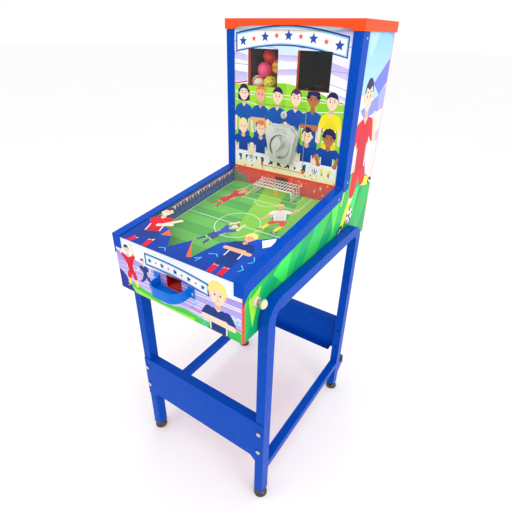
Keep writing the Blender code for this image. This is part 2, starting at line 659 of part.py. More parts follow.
def make_goalkeeper():
    """A flat figure standing on a foot in the goal mouth."""
    along = field_length() - 0.030
    outline = mirrored([(0, 0.031), (0.0026, 0.030), (0.003, 0.0265), (0.0015, 0.0245), (0.004, 0.0235),
                        (0.013, 0.029), (0.0145, 0.0275), (0.005, 0.019), (0.0045, 0.011),
                        (0.0075, 0.0022), (0.003, 0.0022), (0, 0.009)])
    figure = plate("goalkeeper", [outline], "XZ", -0.001, 0.001, YELLOW_PLASTIC)
    foot = box("goalkeeper_foot", (-0.010, -0.005, GAP), (0.010, 0.005, 0.0028), None, cutters)
    tilt = Matrix.Translation(on_field(0, along, 0)) @ Matrix.Rotation(FIELD_SLOPE, 4, "X")
    for piece in (figure, foot):
        piece.data.transform(tilt)
    weld(figure, foot)


# ---- flippers and buttons ------------------------------------------------------------------
def make_flipper(side, sign):
    """Blade above the field, shaft through it, and the crank that the button's rod pushes."""
    pivot = on_field(sign * FLIPPER_X, FLIPPER_Y, 0)
    length = FLIPPER_LENGTH
    base_radius, tip_radius = 0.0085, 0.0045
    lean = math.degrees(math.asin((base_radius - tip_radius) / length))
    blade = arc((0, 0), base_radius, 90 - lean, 270 + lean, 12)
    blade += arc((length, 0), tip_radius, -90 + lean, 90 - lean, 8)
    turn = Matrix.Rotation(math.pi + FLIPPER_REST if sign > 0 else -FLIPPER_REST, 4, "Z")
    tilt = Matrix.Translation(pivot) @ Matrix.Rotation(FIELD_SLOPE, 4, "X")
    flipper = plate(f"flipper_{side}", [blade], "XY", 0.0010, 0.0125, RED_PLASTIC)
    flipper.data.transform(tilt @ turn)
    set_origin(flipper, pivot)
    normal = field_normal()
    shaft = cylinder(f"flipper_{side}_shaft", pivot - normal * 0.034, pivot + normal * 0.004,
                     FLIPPER_SHAFT, None, cutters, 20)
    crank = plate(f"flipper_{side}_crank", [arc((0, 0), 0.0065, 0, 180, 10)
                  + arc((0, -CRANK_LENGTH), 0.0035, 180, 360, 8)], "XY", -0.034, -0.022, None, cutters)
    crank.data.transform(tilt)
    weld(weld(flipper, shaft), crank)


def make_button(side, sign):
    centre = Vector((sign * (HALF + GAP), BUTTON_Y, BUTTON_HEIGHT))
    out = Vector((sign, 0, 0))
    profile = [(COLLAR_RADIUS - 0.002, COLLAR_LENGTH), (COLLAR_RADIUS, COLLAR_LENGTH),
               (COLLAR_RADIUS, 0.003), (COLLAR_RADIUS + 0.002, 0.002), (COLLAR_RADIUS + 0.002, 0),
               (COLLAR_RADIUS - 0.002, 0), (COLLAR_RADIUS - 0.002, COLLAR_LENGTH)]
    turned(f"button_collar_{side}", profile, centre, out, CREAM_PLASTIC)
    head_base = COLLAR_LENGTH + BUTTON_TRAVEL + 0.0005
    rod_length = HALF + GAP - ROD_END_X
    radius = BUTTON_HEAD_RADIUS
    profile = [(0, head_base + 0.0095), (radius * 0.55, head_base + 0.0088),
               (radius * 0.85, head_base + 0.0066), (radius, head_base + 0.0035),
               (radius, head_base + 0.001), (radius - 0.001, head_base), (ROD_RADIUS, head_base),
               (ROD_RADIUS, -rod_length + 0.003), (0.008, -rod_length + 0.003), (0.008, -rod_length),
               (0, -rod_length)]
    turned(f"button_{side}", profile, centre, out, CREAM_PLASTIC)
    wire, coil = 0.0005, ROD_RADIUS + 0.0022
    turns, per_turn = 5, 8
    low, high = wire + 0.0001, head_base - wire - GAP
    points = []
    for step in range(turns * per_turn + 1):
        angle = 2 * math.pi * step / per_turn
        height = low + (high - low) * step / (turns * per_turn)
        points.append(centre + out * height + Vector((0, coil * math.cos(angle), coil * math.sin(angle))))
    rod(f"button_spring_{side}", points, wire, SPRING_STEEL, parts, 1)


# ---- outlet and tray -----------------------------------------------------------------------
def make_outlet_chute():
    """A trough under the drain hole that leads the ball out of the front panel."""
    wall = 0.0015
    rear = FIELD_FRONT + DRAIN_LENGTH + 0.006
    front = SHEET + GAP
    floor_front, floor_rear = OUTLET_BOTTOM + 0.0003, OUTLET_BOTTOM + 0.012
    top = OUTLET_TOP + 0.001
    outer = [(front, floor_front), (rear, floor_rear), (rear, top), (front, top)]
    inner = [(front - 0.01, floor_front + wall), (rear - wall, floor_rear + wall),
             (rear - wall, top + 0.01), (front - 0.01, top + 0.01)]
    half = OUTLET_HALF
    chute = plate("outlet_chute", [outer], "YZ", -half - wall, half + wall, RED_PLASTIC)
    cut(chute, plate("outlet_chute_hollow", [inner], "YZ", -half, half, None, cutters))


def tray_outline(inset):
    half, reach, corner = TRAY_HALF - inset, TRAY_REACH - inset, TRAY_CORNER - inset
    right = [(half, -GAP)] + arc((half - corner, -reach + corner), corner, 0, -90)
    return right + [(-x, y) for x, y in reversed(right)]


def make_ball_tray():
    wall = 0.0025
    tray = plate("ball_tray", [tray_outline(0)], "XY", TRAY_BOTTOM, TRAY_TOP, TRAY_PLASTIC)
    pocket = [(x, y if y < -0.001 else 0.01) for x, y in tray_outline(wall)]
    cut(tray, plate("ball_tray_pocket", [pocket], "XY", TRAY_BOTTOM + 0.002, TRAY_TOP + 0.01, None, cutters))
    for side, sign in SIDES:
        low, high = sorted((sign * (TRAY_HALF - wall), sign * TRAY_EAR))
        weld(tray, box(f"ball_tray_ear_{side}", (low, -GAP - wall, TRAY_BOTTOM + 0.004),
                       (high, -GAP, TRAY_TOP + 0.006), None, cutters))


# ---- backbox -------------------------------------------------------------------------------
def make_top_cap():
    """A lift-off lid. Its front skirt is cut to a shallow arch."""
    bottom = TOTAL_HEIGHT - CAP_DROP
    cap = box("top_cap", (-CAP_HALF, CAP_FRONT, bottom), (CAP_HALF, CAP_BACK, TOTAL_HEIGHT), RED_STEEL)
    cut(cap, box("top_cap_hollow", (-CAP_HALF + SHEET, CAP_FRONT + SHEET, bottom - 0.01),
                 (CAP_HALF - SHEET, CAP_BACK - SHEET, TOTAL_HEIGHT - SHEET), None, cutters))
    half = TRIM_HALF - TRIM_FACE
    outline = [(half, bottom - 0.01)]
    for step in range(17):
        turn = math.pi * step / 16
        outline.append((half * math.cos(turn), bottom + CAP_ARCH * math.sin(turn) ** 0.7))
    outline += [(-half, bottom - 0.01)]
    cut(cap, plate("top_cap_arch", [outline], "XZ", CAP_FRONT - 0.01, CAP_FRONT + SHEET + 0.001,
                   None, cutters))


def door_opening(margin):
    return rectangle(-DOOR_HALF - margin, DOOR_BOTTOM - DOOR_KNUCKLE - 0.0005,
                     DOOR_HALF + margin, DOOR_TOP + margin)


def make_backbox_front():
    half = INNER - GAP
    pane = plate("front_pane", [rectangle(-half, PANE_BOTTOM, half, SIDE_TOP - 0.006), door_opening(0.0008)],
                 "XZ", PANE_FRONT, PANE_FRONT + PANE_SHEET, CLEAR)
    windows = [rectangle(min(sign * WINDOW_INNER, sign * WINDOW_OUTER), WINDOW_BOTTOM,
                         max(sign * WINDOW_INNER, sign * WINDOW_OUTER), WINDOW_TOP) for sign in (-1, 1)]
    panel = plate("backbox_panel", [rectangle(-half, PANE_BOTTOM, half, SIDE_TOP - 0.006),
                  door_opening(0.0008)] + windows, "XZ", PANEL_FRONT, PANEL_BACK, RED_STEEL)
    pin_y = BACKBOX_FRONT + SHEET
    for side, sign in SIDES:
        low, high = sorted((sign * (DOOR_HALF + 0.0012), sign * (DOOR_HALF + 0.0062)))
        reach = DOOR_KNUCKLE + 0.0008
        ear = box(f"door_ear_{side}", (low, pin_y - reach, DOOR_BOTTOM - reach),
                  (high, PANEL_FRONT + SHEET / 2, DOOR_BOTTOM + reach), None, cutters)
        weld(panel, ear)
        cut(pane, box(f"door_ear_notch_{side}", (low - 0.0006, pin_y - 0.01, DOOR_BOTTOM - reach - GAP),
                      (high + 0.0006, PANEL_FRONT, DOOR_BOTTOM + reach + GAP), None, cutters))
    cut(panel, cylinder("door_ear_bore", (-DOOR_HALF - 0.01, pin_y, DOOR_BOTTOM),
                        (DOOR_HALF + 0.01, pin_y, DOOR_BOTTOM), DOOR_PIN + GAP, None, cutters, 16))


def make_coin_door():
    """Drop-front door: a plate, a knuckle along its lower edge and the pin it turns on."""
    pin_y = BACKBOX_FRONT + SHEET
    front, back = pin_y - SHEET / 2, pin_y + SHEET / 2
    holes = [circle((0, LOCK_HEIGHT), 0.0085 + GAP, 20), circle((0, HANDLE_HEIGHT), 0.030, 24)]
    door = plate("coin_door", [rectangle(-DOOR_HALF, DOOR_BOTTOM + 0.002, DOOR_HALF, DOOR_TOP)] + holes,
                 "XZ", front, back, PRINTED)
    set_origin(door, (0, pin_y, DOOR_BOTTOM))
    weld(door, cylinder("coin_door_knuckle", (-DOOR_HALF, pin_y, DOOR_BOTTOM),
                        (DOOR_HALF, pin_y, DOOR_BOTTOM), DOOR_KNUCKLE, None, cutters, 24))
    for side, sign in SIDES:
        low, high = sorted((sign * DOOR_HALF, sign * (DOOR_HALF - SHEET)))
        weld(door, box(f"coin_door_fold_{side}", (low, back - SHEET / 2, DOOR_BOTTOM + 0.010),
                       (high, back + 0.006, DOOR_TOP - 0.004), None, cutters))
    cut(door, cylinder("coin_door_bore", (-DOOR_HALF - 0.01, pin_y, DOOR_BOTTOM),
                       (DOOR_HALF + 0.01, pin_y, DOOR_BOTTOM), DOOR_PIN + GAP, None, cutters, 16))
    reach = DOOR_HALF + 0.006
    cylinder("coin_door_pin", (-reach, pin_y, DOOR_BOTTOM), (reach, pin_y, DOOR_BOTTOM), DOOR_PIN,
             BRIGHT_ZINC, parts, 16)


def make_coin_mechanism():
    """Die-cast plate on the door with the coin slide above the handle's recess."""
    door_front = BACKBOX_FRONT + SHEET / 2
    outline = mirrored([(0, 1.060), (0.035, 1.060), (0.057, 1.040), (0.047, 0.982), (0.037, 0.944),
                        (0, 0.944)])
    front = door_front - MECH_FRONT
    mech = plate("coin_mechanism", [outline], "XZ", front + 0.012, door_front - GAP, ZINC)
    raised = mirrored([(0, 1.056), (0.032, 1.056), (0.052, 1.038), (0.040, 0.975), (0.032, 0.950),
                       (0, 0.950)])
    weld(mech, plate("coin_mechanism_face", [raised], "XZ", front, front + 0.0125, None, cutters))
    cut(mech, cylinder("coin_mechanism_recess", (0, front - 0.01, HANDLE_HEIGHT),
                       (0, front + 0.012, HANDLE_HEIGHT), HANDLE_RADIUS + 0.002, None, cutters, 28))
    for number in range(4):
        height = 1.036 + number * 0.0045
        cut(mech, box(f"coin_mechanism_groove_{number}", (-0.022, front - 0.01, height),
                      (0.022, front + 0.0022, height + 0.0018), None, cutters))
    tail = door_front + SHEET + 0.016
    weld(mech, cylinder("coin_mechanism_barrel", (0, door_front - 0.004, HANDLE_HEIGHT),
                        (0, tail, HANDLE_HEIGHT), 0.024, None, cutters))
    cut(mech, cylinder("coin_mechanism_bore", (0, front - 0.01, HANDLE_HEIGHT),
                       (0, tail + 0.01, HANDLE_HEIGHT), SHAFT_RADIUS + GAP, None, cutters, 20))


def pinion_outline():
    """Eight square teeth, with a gap at the top for the dispensing wheel's peg."""
    pitch = PEG_RING * PINION_TEETH / PEGS
    outline = []
    for tooth in range(PINION_TEETH):
        middle = math.pi / 2 + (tooth + 0.5) * 2 * math.pi / PINION_TEETH
        for reach, spread in ((pitch - 0.0055, -0.0045), (pitch + 0.0035, -0.003),
                              (pitch + 0.0035, 0.003), (pitch - 0.0055, 0.0045)):
            turn = middle + math.atan2(spread, reach)
            outline.append((reach * math.cos(turn), reach * math.sin(turn) + HANDLE_HEIGHT))
    return outline


def make_coin_handle():
    """Turning disc with its S-shaped grip, the shaft behind it and the pinion on its end."""
    face = BACKBOX_FRONT + SHEET / 2 - MECH_FRONT
    disc_back, disc_front = face + 0.012 - GAP, face + 0.002
    shaft_end = WHEEL_AXIS_Y - PEG_RING + 0.006
    profile = [(0, -disc_front), (HANDLE_RADIUS - 0.004, -disc_front), (HANDLE_RADIUS, -disc_front - 0.003),
               (HANDLE_RADIUS, -disc_back), (SHAFT_RADIUS, -disc_back), (SHAFT_RADIUS, -shaft_end),
               (0, -shaft_end)]
    handle = turned("coin_handle", profile, (0, 0, HANDLE_HEIGHT), (0, -1, 0), ZINC, parts, 28)
    handle.data.transform(Matrix.Translation((0, 0, disc_front)))
    handle.location = (0, disc_front, HANDLE_HEIGHT)
    centre_line = []
    for step in range(13):
        share = step / 6 - 1
        centre_line.append((0.009 * math.sin(math.pi * share), 0.028 * share))
    half_width = 0.0048
    left, right = [], []
    for index, (u, v) in enumerate(centre_line):
        ahead = centre_line[min(index + 1, len(centre_line) - 1)]
        behind = centre_line[max(index - 1, 0)]
        du, dv = ahead[0] - behind[0], ahead[1] - behind[1]
        size = math.hypot(du, dv)
        left.append((u - dv / size * half_width, HANDLE_HEIGHT + v + du / size * half_width))
        right.append((u + dv / size * half_width, HANDLE_HEIGHT + v - du / size * half_width))
    weld(handle, plate("coin_handle_grip", [left + right[::-1]], "XZ", disc_front - 0.019,
                       disc_front + 0.001, None, cutters))
    weld(handle, plate("coin_handle_pinion", [pinion_outline()], "XZ", shaft_end - 0.010,
                       shaft_end - 0.0005, None, cutters))


def make_lock():
    """Cylinder lock in the door. Its cam lies sideways here and stands up when it is locked."""
    door_front = BACKBOX_FRONT + SHEET / 2
    back = door_front + SHEET
    profile = [(0, -door_front + 0.006), (LOCK_RADIUS - 0.001, -door_front + 0.006),
               (LOCK_RADIUS, -door_front + 0.005), (LOCK_RADIUS, -door_front + GAP),
               (0.0085, -door_front + GAP), (0.0085, -back - 0.012), (0, -back - 0.012)]
    lock = turned("lock_barrel", profile, (0, 0, LOCK_HEIGHT), (0, -1, 0), BRIGHT_ZINC, parts, 28)
    lock.data.transform(Matrix.Translation((0, 0, door_front)))
    lock.location = (0, door_front, LOCK_HEIGHT)
    cam_front = PANEL_BACK + 0.0010
    weld(lock, box("lock_cam", (0.0, cam_front, LOCK_HEIGHT - 0.006),
                   (0.030, cam_front + 0.0025, LOCK_HEIGHT + 0.006), None, cutters))
    weld(lock, cylinder("lock_tail", (0, back, LOCK_HEIGHT), (0, cam_front + 0.004, LOCK_HEIGHT),
                        0.0075, None, cutters, 20))
    cut(lock, box("lock_keyway", (-0.0008, door_front - 0.01, LOCK_HEIGHT - 0.004),
                  (0.0008, door_front - 0.003, LOCK_HEIGHT + 0.004), None, cutters))


def make_hopper():
    """A shelf across the backbox, the ball bin on its left half and the drop tube under it."""
    hole = (-POCKET_RING, WHEEL_AXIS_Y)
    half = INNER - GAP
    shelf = plate("hopper_shelf", [rectangle(-half, PANEL_BACK + GAP, half, CABINET_DEPTH - GAP),
                  circle(hole, POCKET_RADIUS, 24), circle((0, WHEEL_AXIS_Y), AXLE_PIN + GAP, 20)],
                  "XY", SHELF_HEIGHT, SHELF_HEIGHT + SHEET, RED_STEEL)
    tube_low = WHEEL_TOP + 0.002
    weld(shelf, turned("hopper_drop_tube", [
        (POCKET_RADIUS, SHELF_HEIGHT + 0.001), (POCKET_RADIUS + 0.0015, SHELF_HEIGHT + 0.001),
        (POCKET_RADIUS + 0.0015, tube_low), (POCKET_RADIUS, tube_low),
        (POCKET_RADIUS, SHELF_HEIGHT + 0.001)], (*hole, 0), (0, 0, 1), None, cutters, 24))
    low = (-WINDOW_OUTER - 0.012, PANEL_BACK + GAP, SHELF_HEIGHT + SHEET + GAP)
    high = (-WINDOW_INNER + 0.012, CABINET_DEPTH - 0.020, HOPPER_TOP)
    bin_walls = box("ball_hopper", low, high, RED_STEEL)
    cut(bin_walls, box("ball_hopper_hollow", (low[0] + SHEET, low[1] - 0.01, low[2] - 0.01),
                       (high[0] - SHEET, high[1] - SHEET, high[2] + 0.01), None, cutters))


def make_balls():
    """The first three balls of the bin, which rest behind the window."""
    floor = SHELF_HEIGHT + SHEET + GAP + BALL_RADIUS + 0.0002
    front = PANEL_BACK + 0.004 + BALL_RADIUS
    step = 2 * BALL_RADIUS + 0.0005
    first = -WINDOW_OUTER + BALL_RADIUS - 0.008
    places = [(first, front, floor), (first + step, front, floor),
              (first + step / 2, front, floor + step * math.sqrt(0.75))]
    for number, (place, colour) in enumerate(zip(places, BALL_COLOURS), 1):
        mesh = bpy.data.meshes.new(f"bouncy_ball_{number}")
        shape = bmesh.new()
        bmesh.ops.create_icosphere(shape, subdivisions=3, radius=BALL_RADIUS)
        shape.to_mesh(mesh)
        shape.free()
        mesh.shade_smooth()
        ball = add_object(mesh.name, mesh, finish(f"ball_rubber_{number}", colour, 0.35))
        ball.location = place


def make_dispenser():
    """The pocketed wheel that meters the balls, with the pegs that the pinion drives."""
    centre = Vector((0, WHEEL_AXIS_Y, WHEEL_TOP))
    bottom = WHEEL_TOP - WHEEL_THICKNESS
    pockets = [circle((POCKET_RING * math.cos(turn), WHEEL_AXIS_Y + POCKET_RING * math.sin(turn)),
                      POCKET_RADIUS, 18)
               for turn in (math.pi + 2 * math.pi * number / POCKETS for number in range(POCKETS))]
    wheel = plate("dispensing_wheel", [circle((0, WHEEL_AXIS_Y), DISPENSER_RADIUS, 36),
                  circle((0, WHEEL_AXIS_Y), AXLE_PIN + GAP, 20)] + pockets, "XY", bottom, WHEEL_TOP, ZINC)
    set_origin(wheel, centre)
    for number in range(PEGS):
        turn = -math.pi / 2 + 2 * math.pi * number / PEGS
        x, y = PEG_RING * math.cos(turn), WHEEL_AXIS_Y + PEG_RING * math.sin(turn)
        weld(wheel, cylinder(f"dispenser_peg_{number}", (x, y, bottom - PEG_LENGTH), (x, y, bottom + 0.002),
                             PEG_RADIUS, None, cutters, 6))
    profile = [(0, SHELF_HEIGHT + SHEET + 0.006), (0.010, SHELF_HEIGHT + SHEET + 0.006),
               (0.010, SHELF_HEIGHT + SHEET + GAP), (AXLE_PIN, SHELF_HEIGHT + SHEET + GAP),
               (AXLE_PIN, bottom - GAP), (0.010, bottom - GAP), (0.010, bottom - 0.004), (0, bottom - 0.004)]
    turned("dispenser_axle", profile, (0, WHEEL_AXIS_Y, 0), (0, 0, 1), BRIGHT_ZINC, parts, 24)


def make_drop_chute():
    """A bent tube from under the dispensing wheel to the ball entry behind the goal."""
    exit_y = PANE_FRONT + SHEET + 0.0032
    radius = POCKET_RADIUS - 0.001
    exit_height = field_height(FIELD_BACK) + 0.0235
    bend = 0.060
    start_y = WHEEL_AXIS_Y + POCKET_RING
    top = WHEEL_TOP - WHEEL_THICKNESS - 0.018
    route = [(0, start_y, top), (0, start_y, exit_height + bend + 0.012)]
    for step in range(1, 8):
        angle = math.radians(90 * step / 8)
        route.append((0, start_y - bend * (1 - math.cos(angle)),
                      exit_height + bend + 0.012 - bend * math.sin(angle)))
    route.append((0, start_y - bend, exit_height + 0.011))
    route.append((0, exit_y, exit_height))
    chute = rod("drop_chute", route, radius + 0.0015, RED_PLASTIC, parts, 4)
    longer = [(0, start_y, top + 0.02)] + route[1:-1] + [(0, exit_y - 0.02, exit_height - 0.002)]
    cut(chute, rod("drop_chute_bore", longer, radius, None, cutters, 4))


def make_machine():
    for side, sign in SIDES:
        make_side_frame(side, sign)
        make_tilt_wheel(side, sign)
        make_side_panel(side, sign)
        make_rim_trim(side, sign)
        make_post_trim(side, sign)
        make_flipper(side, sign)
        make_button(side, sign)
        for end, y in (("front", FRONT_LEG_Y), ("rear", REAR_LEG_Y)):
            make_foot(f"foot_{end}_{side}", sign * LEG_X, y + TUBE_DEPTH / 2)
    make_stretcher("front_stretcher", FRONT_LEG_Y - GAP, 1)
    make_stretcher("rear_stretcher", REAR_LEG_BACK + GAP, -1)
    make_stretcher_bolts()
    make_cabinet_shell()
    make_playfield()
    make_playfield_cover()
    make_rear_wall()
    make_goal()
    make_goalkeeper()
    make_outlet_chute()
    make_ball_tray()
    make_backbox_front()
    make_coin_door()
    make_coin_mechanism()
    make_coin_handle()
    make_lock()
    make_hopper()
    make_balls()
    make_dispenser()
    make_drop_chute()
    make_top_cap()


make_machine()
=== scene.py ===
import json
import math
import random

import bmesh
import bpy
import numpy as np
from mathutils import Matrix, Vector


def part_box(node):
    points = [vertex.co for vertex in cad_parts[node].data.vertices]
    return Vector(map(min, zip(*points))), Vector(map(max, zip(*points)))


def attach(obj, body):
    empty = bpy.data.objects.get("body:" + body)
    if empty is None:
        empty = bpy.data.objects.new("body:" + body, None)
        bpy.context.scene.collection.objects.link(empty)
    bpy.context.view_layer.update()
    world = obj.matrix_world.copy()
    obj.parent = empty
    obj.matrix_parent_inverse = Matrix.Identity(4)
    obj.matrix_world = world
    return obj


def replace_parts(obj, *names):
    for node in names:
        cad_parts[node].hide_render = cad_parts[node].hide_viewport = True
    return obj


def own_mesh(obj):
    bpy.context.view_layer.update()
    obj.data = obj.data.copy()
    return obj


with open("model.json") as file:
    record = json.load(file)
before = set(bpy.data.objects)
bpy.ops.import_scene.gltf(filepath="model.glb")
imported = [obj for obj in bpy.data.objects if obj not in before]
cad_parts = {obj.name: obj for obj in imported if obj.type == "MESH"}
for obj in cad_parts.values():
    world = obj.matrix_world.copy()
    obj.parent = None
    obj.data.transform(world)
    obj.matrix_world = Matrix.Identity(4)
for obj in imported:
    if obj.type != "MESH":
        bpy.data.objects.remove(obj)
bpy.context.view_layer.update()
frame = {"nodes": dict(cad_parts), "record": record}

nodes = frame["nodes"]
record = frame["record"]
bodyOf = {member: owner for owner, members in record["behaviour"]["bodies"].items() for member in members}
slotOf = {entry["node"]: entry["material_slot"] for entry in record["subparts"]}
print("frame loaded:", len(nodes), "nodes")


def ink(text):  # "rrggbb" as seen on screen, to the linear colour that shaders use
    parts = [int(text[at:at + 2], 16) / 255 for at in (0, 2, 4)]
    linear = [part / 12.92 if part <= 0.04045 else ((part + 0.055) / 1.055) ** 2.4 for part in parts]
    return (*linear, 1.0)


def inked(tint):
    return ink(tint) if isinstance(tint, str) else tint


def blendInk(first, second, share):
    return tuple(a + (b - a) * share for a, b in zip(first, second))


def addObject(name, data):
    made = bpy.data.objects.new(name, data)
    bpy.context.scene.collection.objects.link(made)
    return made


def paintPoints(mesh, inks):
    layer = mesh.color_attributes.new("ink", "FLOAT_COLOR", "POINT")
    layer.data.foreach_set("color", np.array(inks, np.float32).ravel())


def bakeModifiers(piece):  # what the modifiers make becomes the piece's own plain mesh
    graph = bpy.context.evaluated_depsgraph_get()
    finished = bpy.data.meshes.new_from_object(piece.evaluated_get(graph))
    piece.modifiers.clear()
    piece.data = finished
    finished.name = piece.name
    return finished


class Wire:  # a socket that does arithmetic
    def __init__(self, tree, socket=None):
        self.tree = tree
        self.socket = socket

    def node(self, kind, settings=None, values=None, output=0):
        made = self.tree.nodes.new(kind)
        for key, value in (settings or {}).items():
            setattr(made, key, value)
        for key, value in (values or {}).items():
            if isinstance(value, Wire):
                self.tree.links.new(value.socket, made.inputs[key])
            else:
                made.inputs[key].default_value = value
        return Wire(self.tree, made.outputs[output]) if made.outputs else None

    def maths(self, operation, first, second, limit=False):
        settings = {"operation": operation, "use_clamp": limit}
        return self.node("ShaderNodeMath", settings, {0: first, 1: second})

    def __add__(self, other):
        return self.maths("ADD", self, other)

    def __sub__(self, other):
        return self.maths("SUBTRACT", self, other)

    def __rsub__(self, other):
        return self.maths("SUBTRACT", other, self)

    def __mul__(self, other):
        return self.maths("MULTIPLY", self, other)

    __radd__ = __add__
    __rmul__ = __mul__

    def above(self, edge, softness):  # 0 below the edge, rising to 1 within the softness
        return self.maths("MULTIPLY", self - edge, 1 / softness, True)

    def mix(self, first, second):  # self is the share of the second colour
        return self.node("ShaderNodeMix", {"data_type": "RGBA"}, {0: self, 6: first, 7: second}, 2)


def place(start, stretch=(1, 1, 1), turn=(0, 0, 0)):
    coords = start.node("ShaderNodeTexCoord", output=3)
    return start.node("ShaderNodeMapping", None, {"Vector": coords, "Scale": stretch, "Rotation": turn})


def cloud(start, scale, detail=3.0, stretch=(1, 1, 1), turn=(0, 0, 0)):
    values = {"Vector": place(start, stretch, turn), "Scale": scale, "Detail": detail, "Roughness": 0.55}
    return start.node("ShaderNodeTexNoise", None, values)


def cells(start, scale):
    return start.node("ShaderNodeTexVoronoi", None, {"Vector": place(start), "Scale": scale})


def bump(start, height, distance, strength):
    return start.node("ShaderNodeBump", None, {"Height": height, "Distance": distance, "Strength": strength})


def glossy(start, colour, rough, normal, **more):
    values = {"Base Color": colour, "Roughness": rough, "Normal": normal}
    values.update({key.replace("_", " "): value for key, value in more.items()})
    return start.node("ShaderNodeBsdfPrincipled", None, values)


def newFinish(name, build, *given):
    material = bpy.data.materials.new(name)
    material.use_nodes = True
    material.node_tree.nodes.clear()
    start = Wire(material.node_tree)
    surface = build(start, *[inked(value) for value in given])
    start.node("ShaderNodeOutputMaterial", None, {"Surface": surface})
    return material


# an Edge is where a mark begins in its noise and how softly; roughBy is what each mark adds to the roughness
enamel = {"patchScale": 9, "scuffScale": 90, "scuffStretch": (1, 1, 7), "scuffEdge": (0.66, 0.05),
          "bareScale": 12, "bareEdge": (0.5, 0.2), "dustScale": 35, "dustEdge": (0.52, 0.3), "peelScale": 420,
          "peelDepth": 0.00012, "peelStrength": 0.6, "scuffRise": 0.4, "roughBy": (0.10, 0.10, 0.25),
          "roughness": 0.20, "scuffs": 0.35, "dust": 0.10, "coat": 0.05, "coatRough": 0.06, "sheen": 0.03}
softPlastic = {"flowScale": 28, "flowStretch": (1, 3, 1), "hairScale": 160, "hairStretch": (9, 1, 1),
               "hairTurn": (0.3, 0.5, 0.9), "hairEdge": (0.64, 0.06), "hairs": 0.25, "hairRise": 0.5,
               "grainScale": 1400, "grainDepth": 0.00006, "grainStrength": 0.5, "roughBy": (0.12, 0.2),
               "roughness": 0.22, "coat": 0.3, "sheen": 0.3, "glow": 0.12, "glowDepth": (0.004, 0.003, 0.002)}
hardPlastic = dict(softPlastic, roughness=0.16, coat=0.12, sheen=0.12, glow=0.0)
drawnMetal = {"lineScale": 220, "stretch": (1, 1, 8), "tarnishScale": 60, "tarnishEdge": (0.5, 0.35),
              "tarnish": 0.6, "pitScale": 900, "pits": 0.15, "lines": 0.5, "roughBy": 0.12, "spread": 0.2,
              "roughness": 0.22, "depth": 0.00008, "strength": 0.7, "metal": 1.0}
castMetal = dict(drawnMetal, lineScale=120, stretch=(1, 1, 1), pitScale=700, pits=0.5, spread=0.18,
                 roughness=0.30, depth=0.00016, metal=0.75)
tread = {"wearScale": 45, "grainScale": 900, "grainDepth": 0.0001, "roughness": 0.55}
filmLook = {"screenScale": 1500, "screen": 0.012, "unevenScale": 30, "unevenEdge": (0.45, 0.4),
            "uneven": 0.05, "rubScale": 110, "rubStretch": (1, 5, 5), "rubEdge": (0.67, 0.06),
            "roughBy": (0.10, 0.15), "roughness": 0.18, "waveScale": 16, "waveDepth": 0.0010,
            "waveStrength": 0.5, "coat": 0.04, "coatRough": 0.05, "sheen": 0.06}
fieldLook = dict(filmLook, roughness=0.28, coat=0.0)
ballLook = dict(filmLook, screen=0.0, roughness=0.2, waveDepth=0.0002, sheen=0.4)
acrylic = {"blend": 0.35, "edge": 0.05, "wipeScale": 70, "wipeStretch": (1, 6, 1), "wipeTurn": (0, 0, 0.5),
           "wipeEdge": (0.6, 0.12), "wipe": 0.015, "film": 0.01, "roughBy": 0.1, "roughness": 0.03,
           "waveScale": 14, "waveDepth": 0.0004, "waveStrength": 0.25}


def powderCoat(start, tint, shade, look):  # baked enamel: orange peel, a few scuffs and thin patches of dust
    patch = cloud(start, look["patchScale"], 4.0)
    scuff = cloud(start, look["scuffScale"], 5.0, look["scuffStretch"]).above(*look["scuffEdge"])
    scuff = scuff * cloud(start, look["bareScale"]).above(*look["bareEdge"])
    dust = cloud(start, look["dustScale"], 6.0).above(*look["dustEdge"])
    colour = patch.mix(tint, shade)
    colour = (scuff * look["scuffs"]).mix(colour, blendInk(tint, (0.7, 0.8, 0.9, 1), 0.12))
    colour = (dust * look["dust"]).mix(colour, blendInk(shade, (0.4, 0.4, 0.38, 1), 0.10))
    byPatch, byDust, byScuff = look["roughBy"]
    rough = patch * byPatch + dust * byDust + scuff * byScuff + look["roughness"]
    peel = cloud(start, look["peelScale"], 2.0)
    normal = bump(start, peel + scuff * look["scuffRise"], look["peelDepth"], look["peelStrength"])
    return glossy(start, colour, rough, normal, Coat_Weight=look["coat"], Coat_Roughness=look["coatRough"],
                  Specular_IOR_Level=look["sheen"])


def mouldedPlastic(start, tint, shade, look):  # flow marks, hairline scratches and a fine grain
    flow = cloud(start, look["flowScale"], 3.0, look["flowStretch"])
    hair = cloud(start, look["hairScale"], 4.0, look["hairStretch"], look["hairTurn"])
    hair = hair.above(*look["hairEdge"])
    grain = cloud(start, look["grainScale"], 2.0)
    colour = (hair * look["hairs"]).mix(flow.mix(tint, shade), blendInk(tint, (1, 1, 1, 1), 0.3))
    byFlow, byHair = look["roughBy"]
    rough = flow * byFlow + hair * byHair + look["roughness"]
    normal = bump(start, grain + hair * look["hairRise"], look["grainDepth"], look["grainStrength"])
    return glossy(start, colour, rough, normal, Coat_Weight=look["coat"], Subsurface_Weight=look["glow"],
                  Subsurface_Radius=look["glowDepth"], Subsurface_Scale=1.0,
                  Specular_IOR_Level=look["sheen"])


def platedSteel(start, tint, shade, look):  # drawn or cast metal with tarnish in patches
    drawn = cloud(start, look["lineScale"], 4.0, look["stretch"])
    tarnish = cloud(start, look["tarnishScale"], 5.0).above(*look["tarnishEdge"])
    pits = cells(start, look["pitScale"])
    brown = blendInk(shade, (0.25, 0.2, 0.14, 1), 0.35)
    colour = (tarnish * look["tarnish"]).mix(drawn.mix(tint, shade), brown)
    rough = drawn * look["spread"] + tarnish * look["roughBy"] + look["roughness"]
    normal = bump(start, pits * look["pits"] + drawn * look["lines"], look["depth"], look["strength"])
    return glossy(start, colour, rough, normal, Metallic=look["metal"])


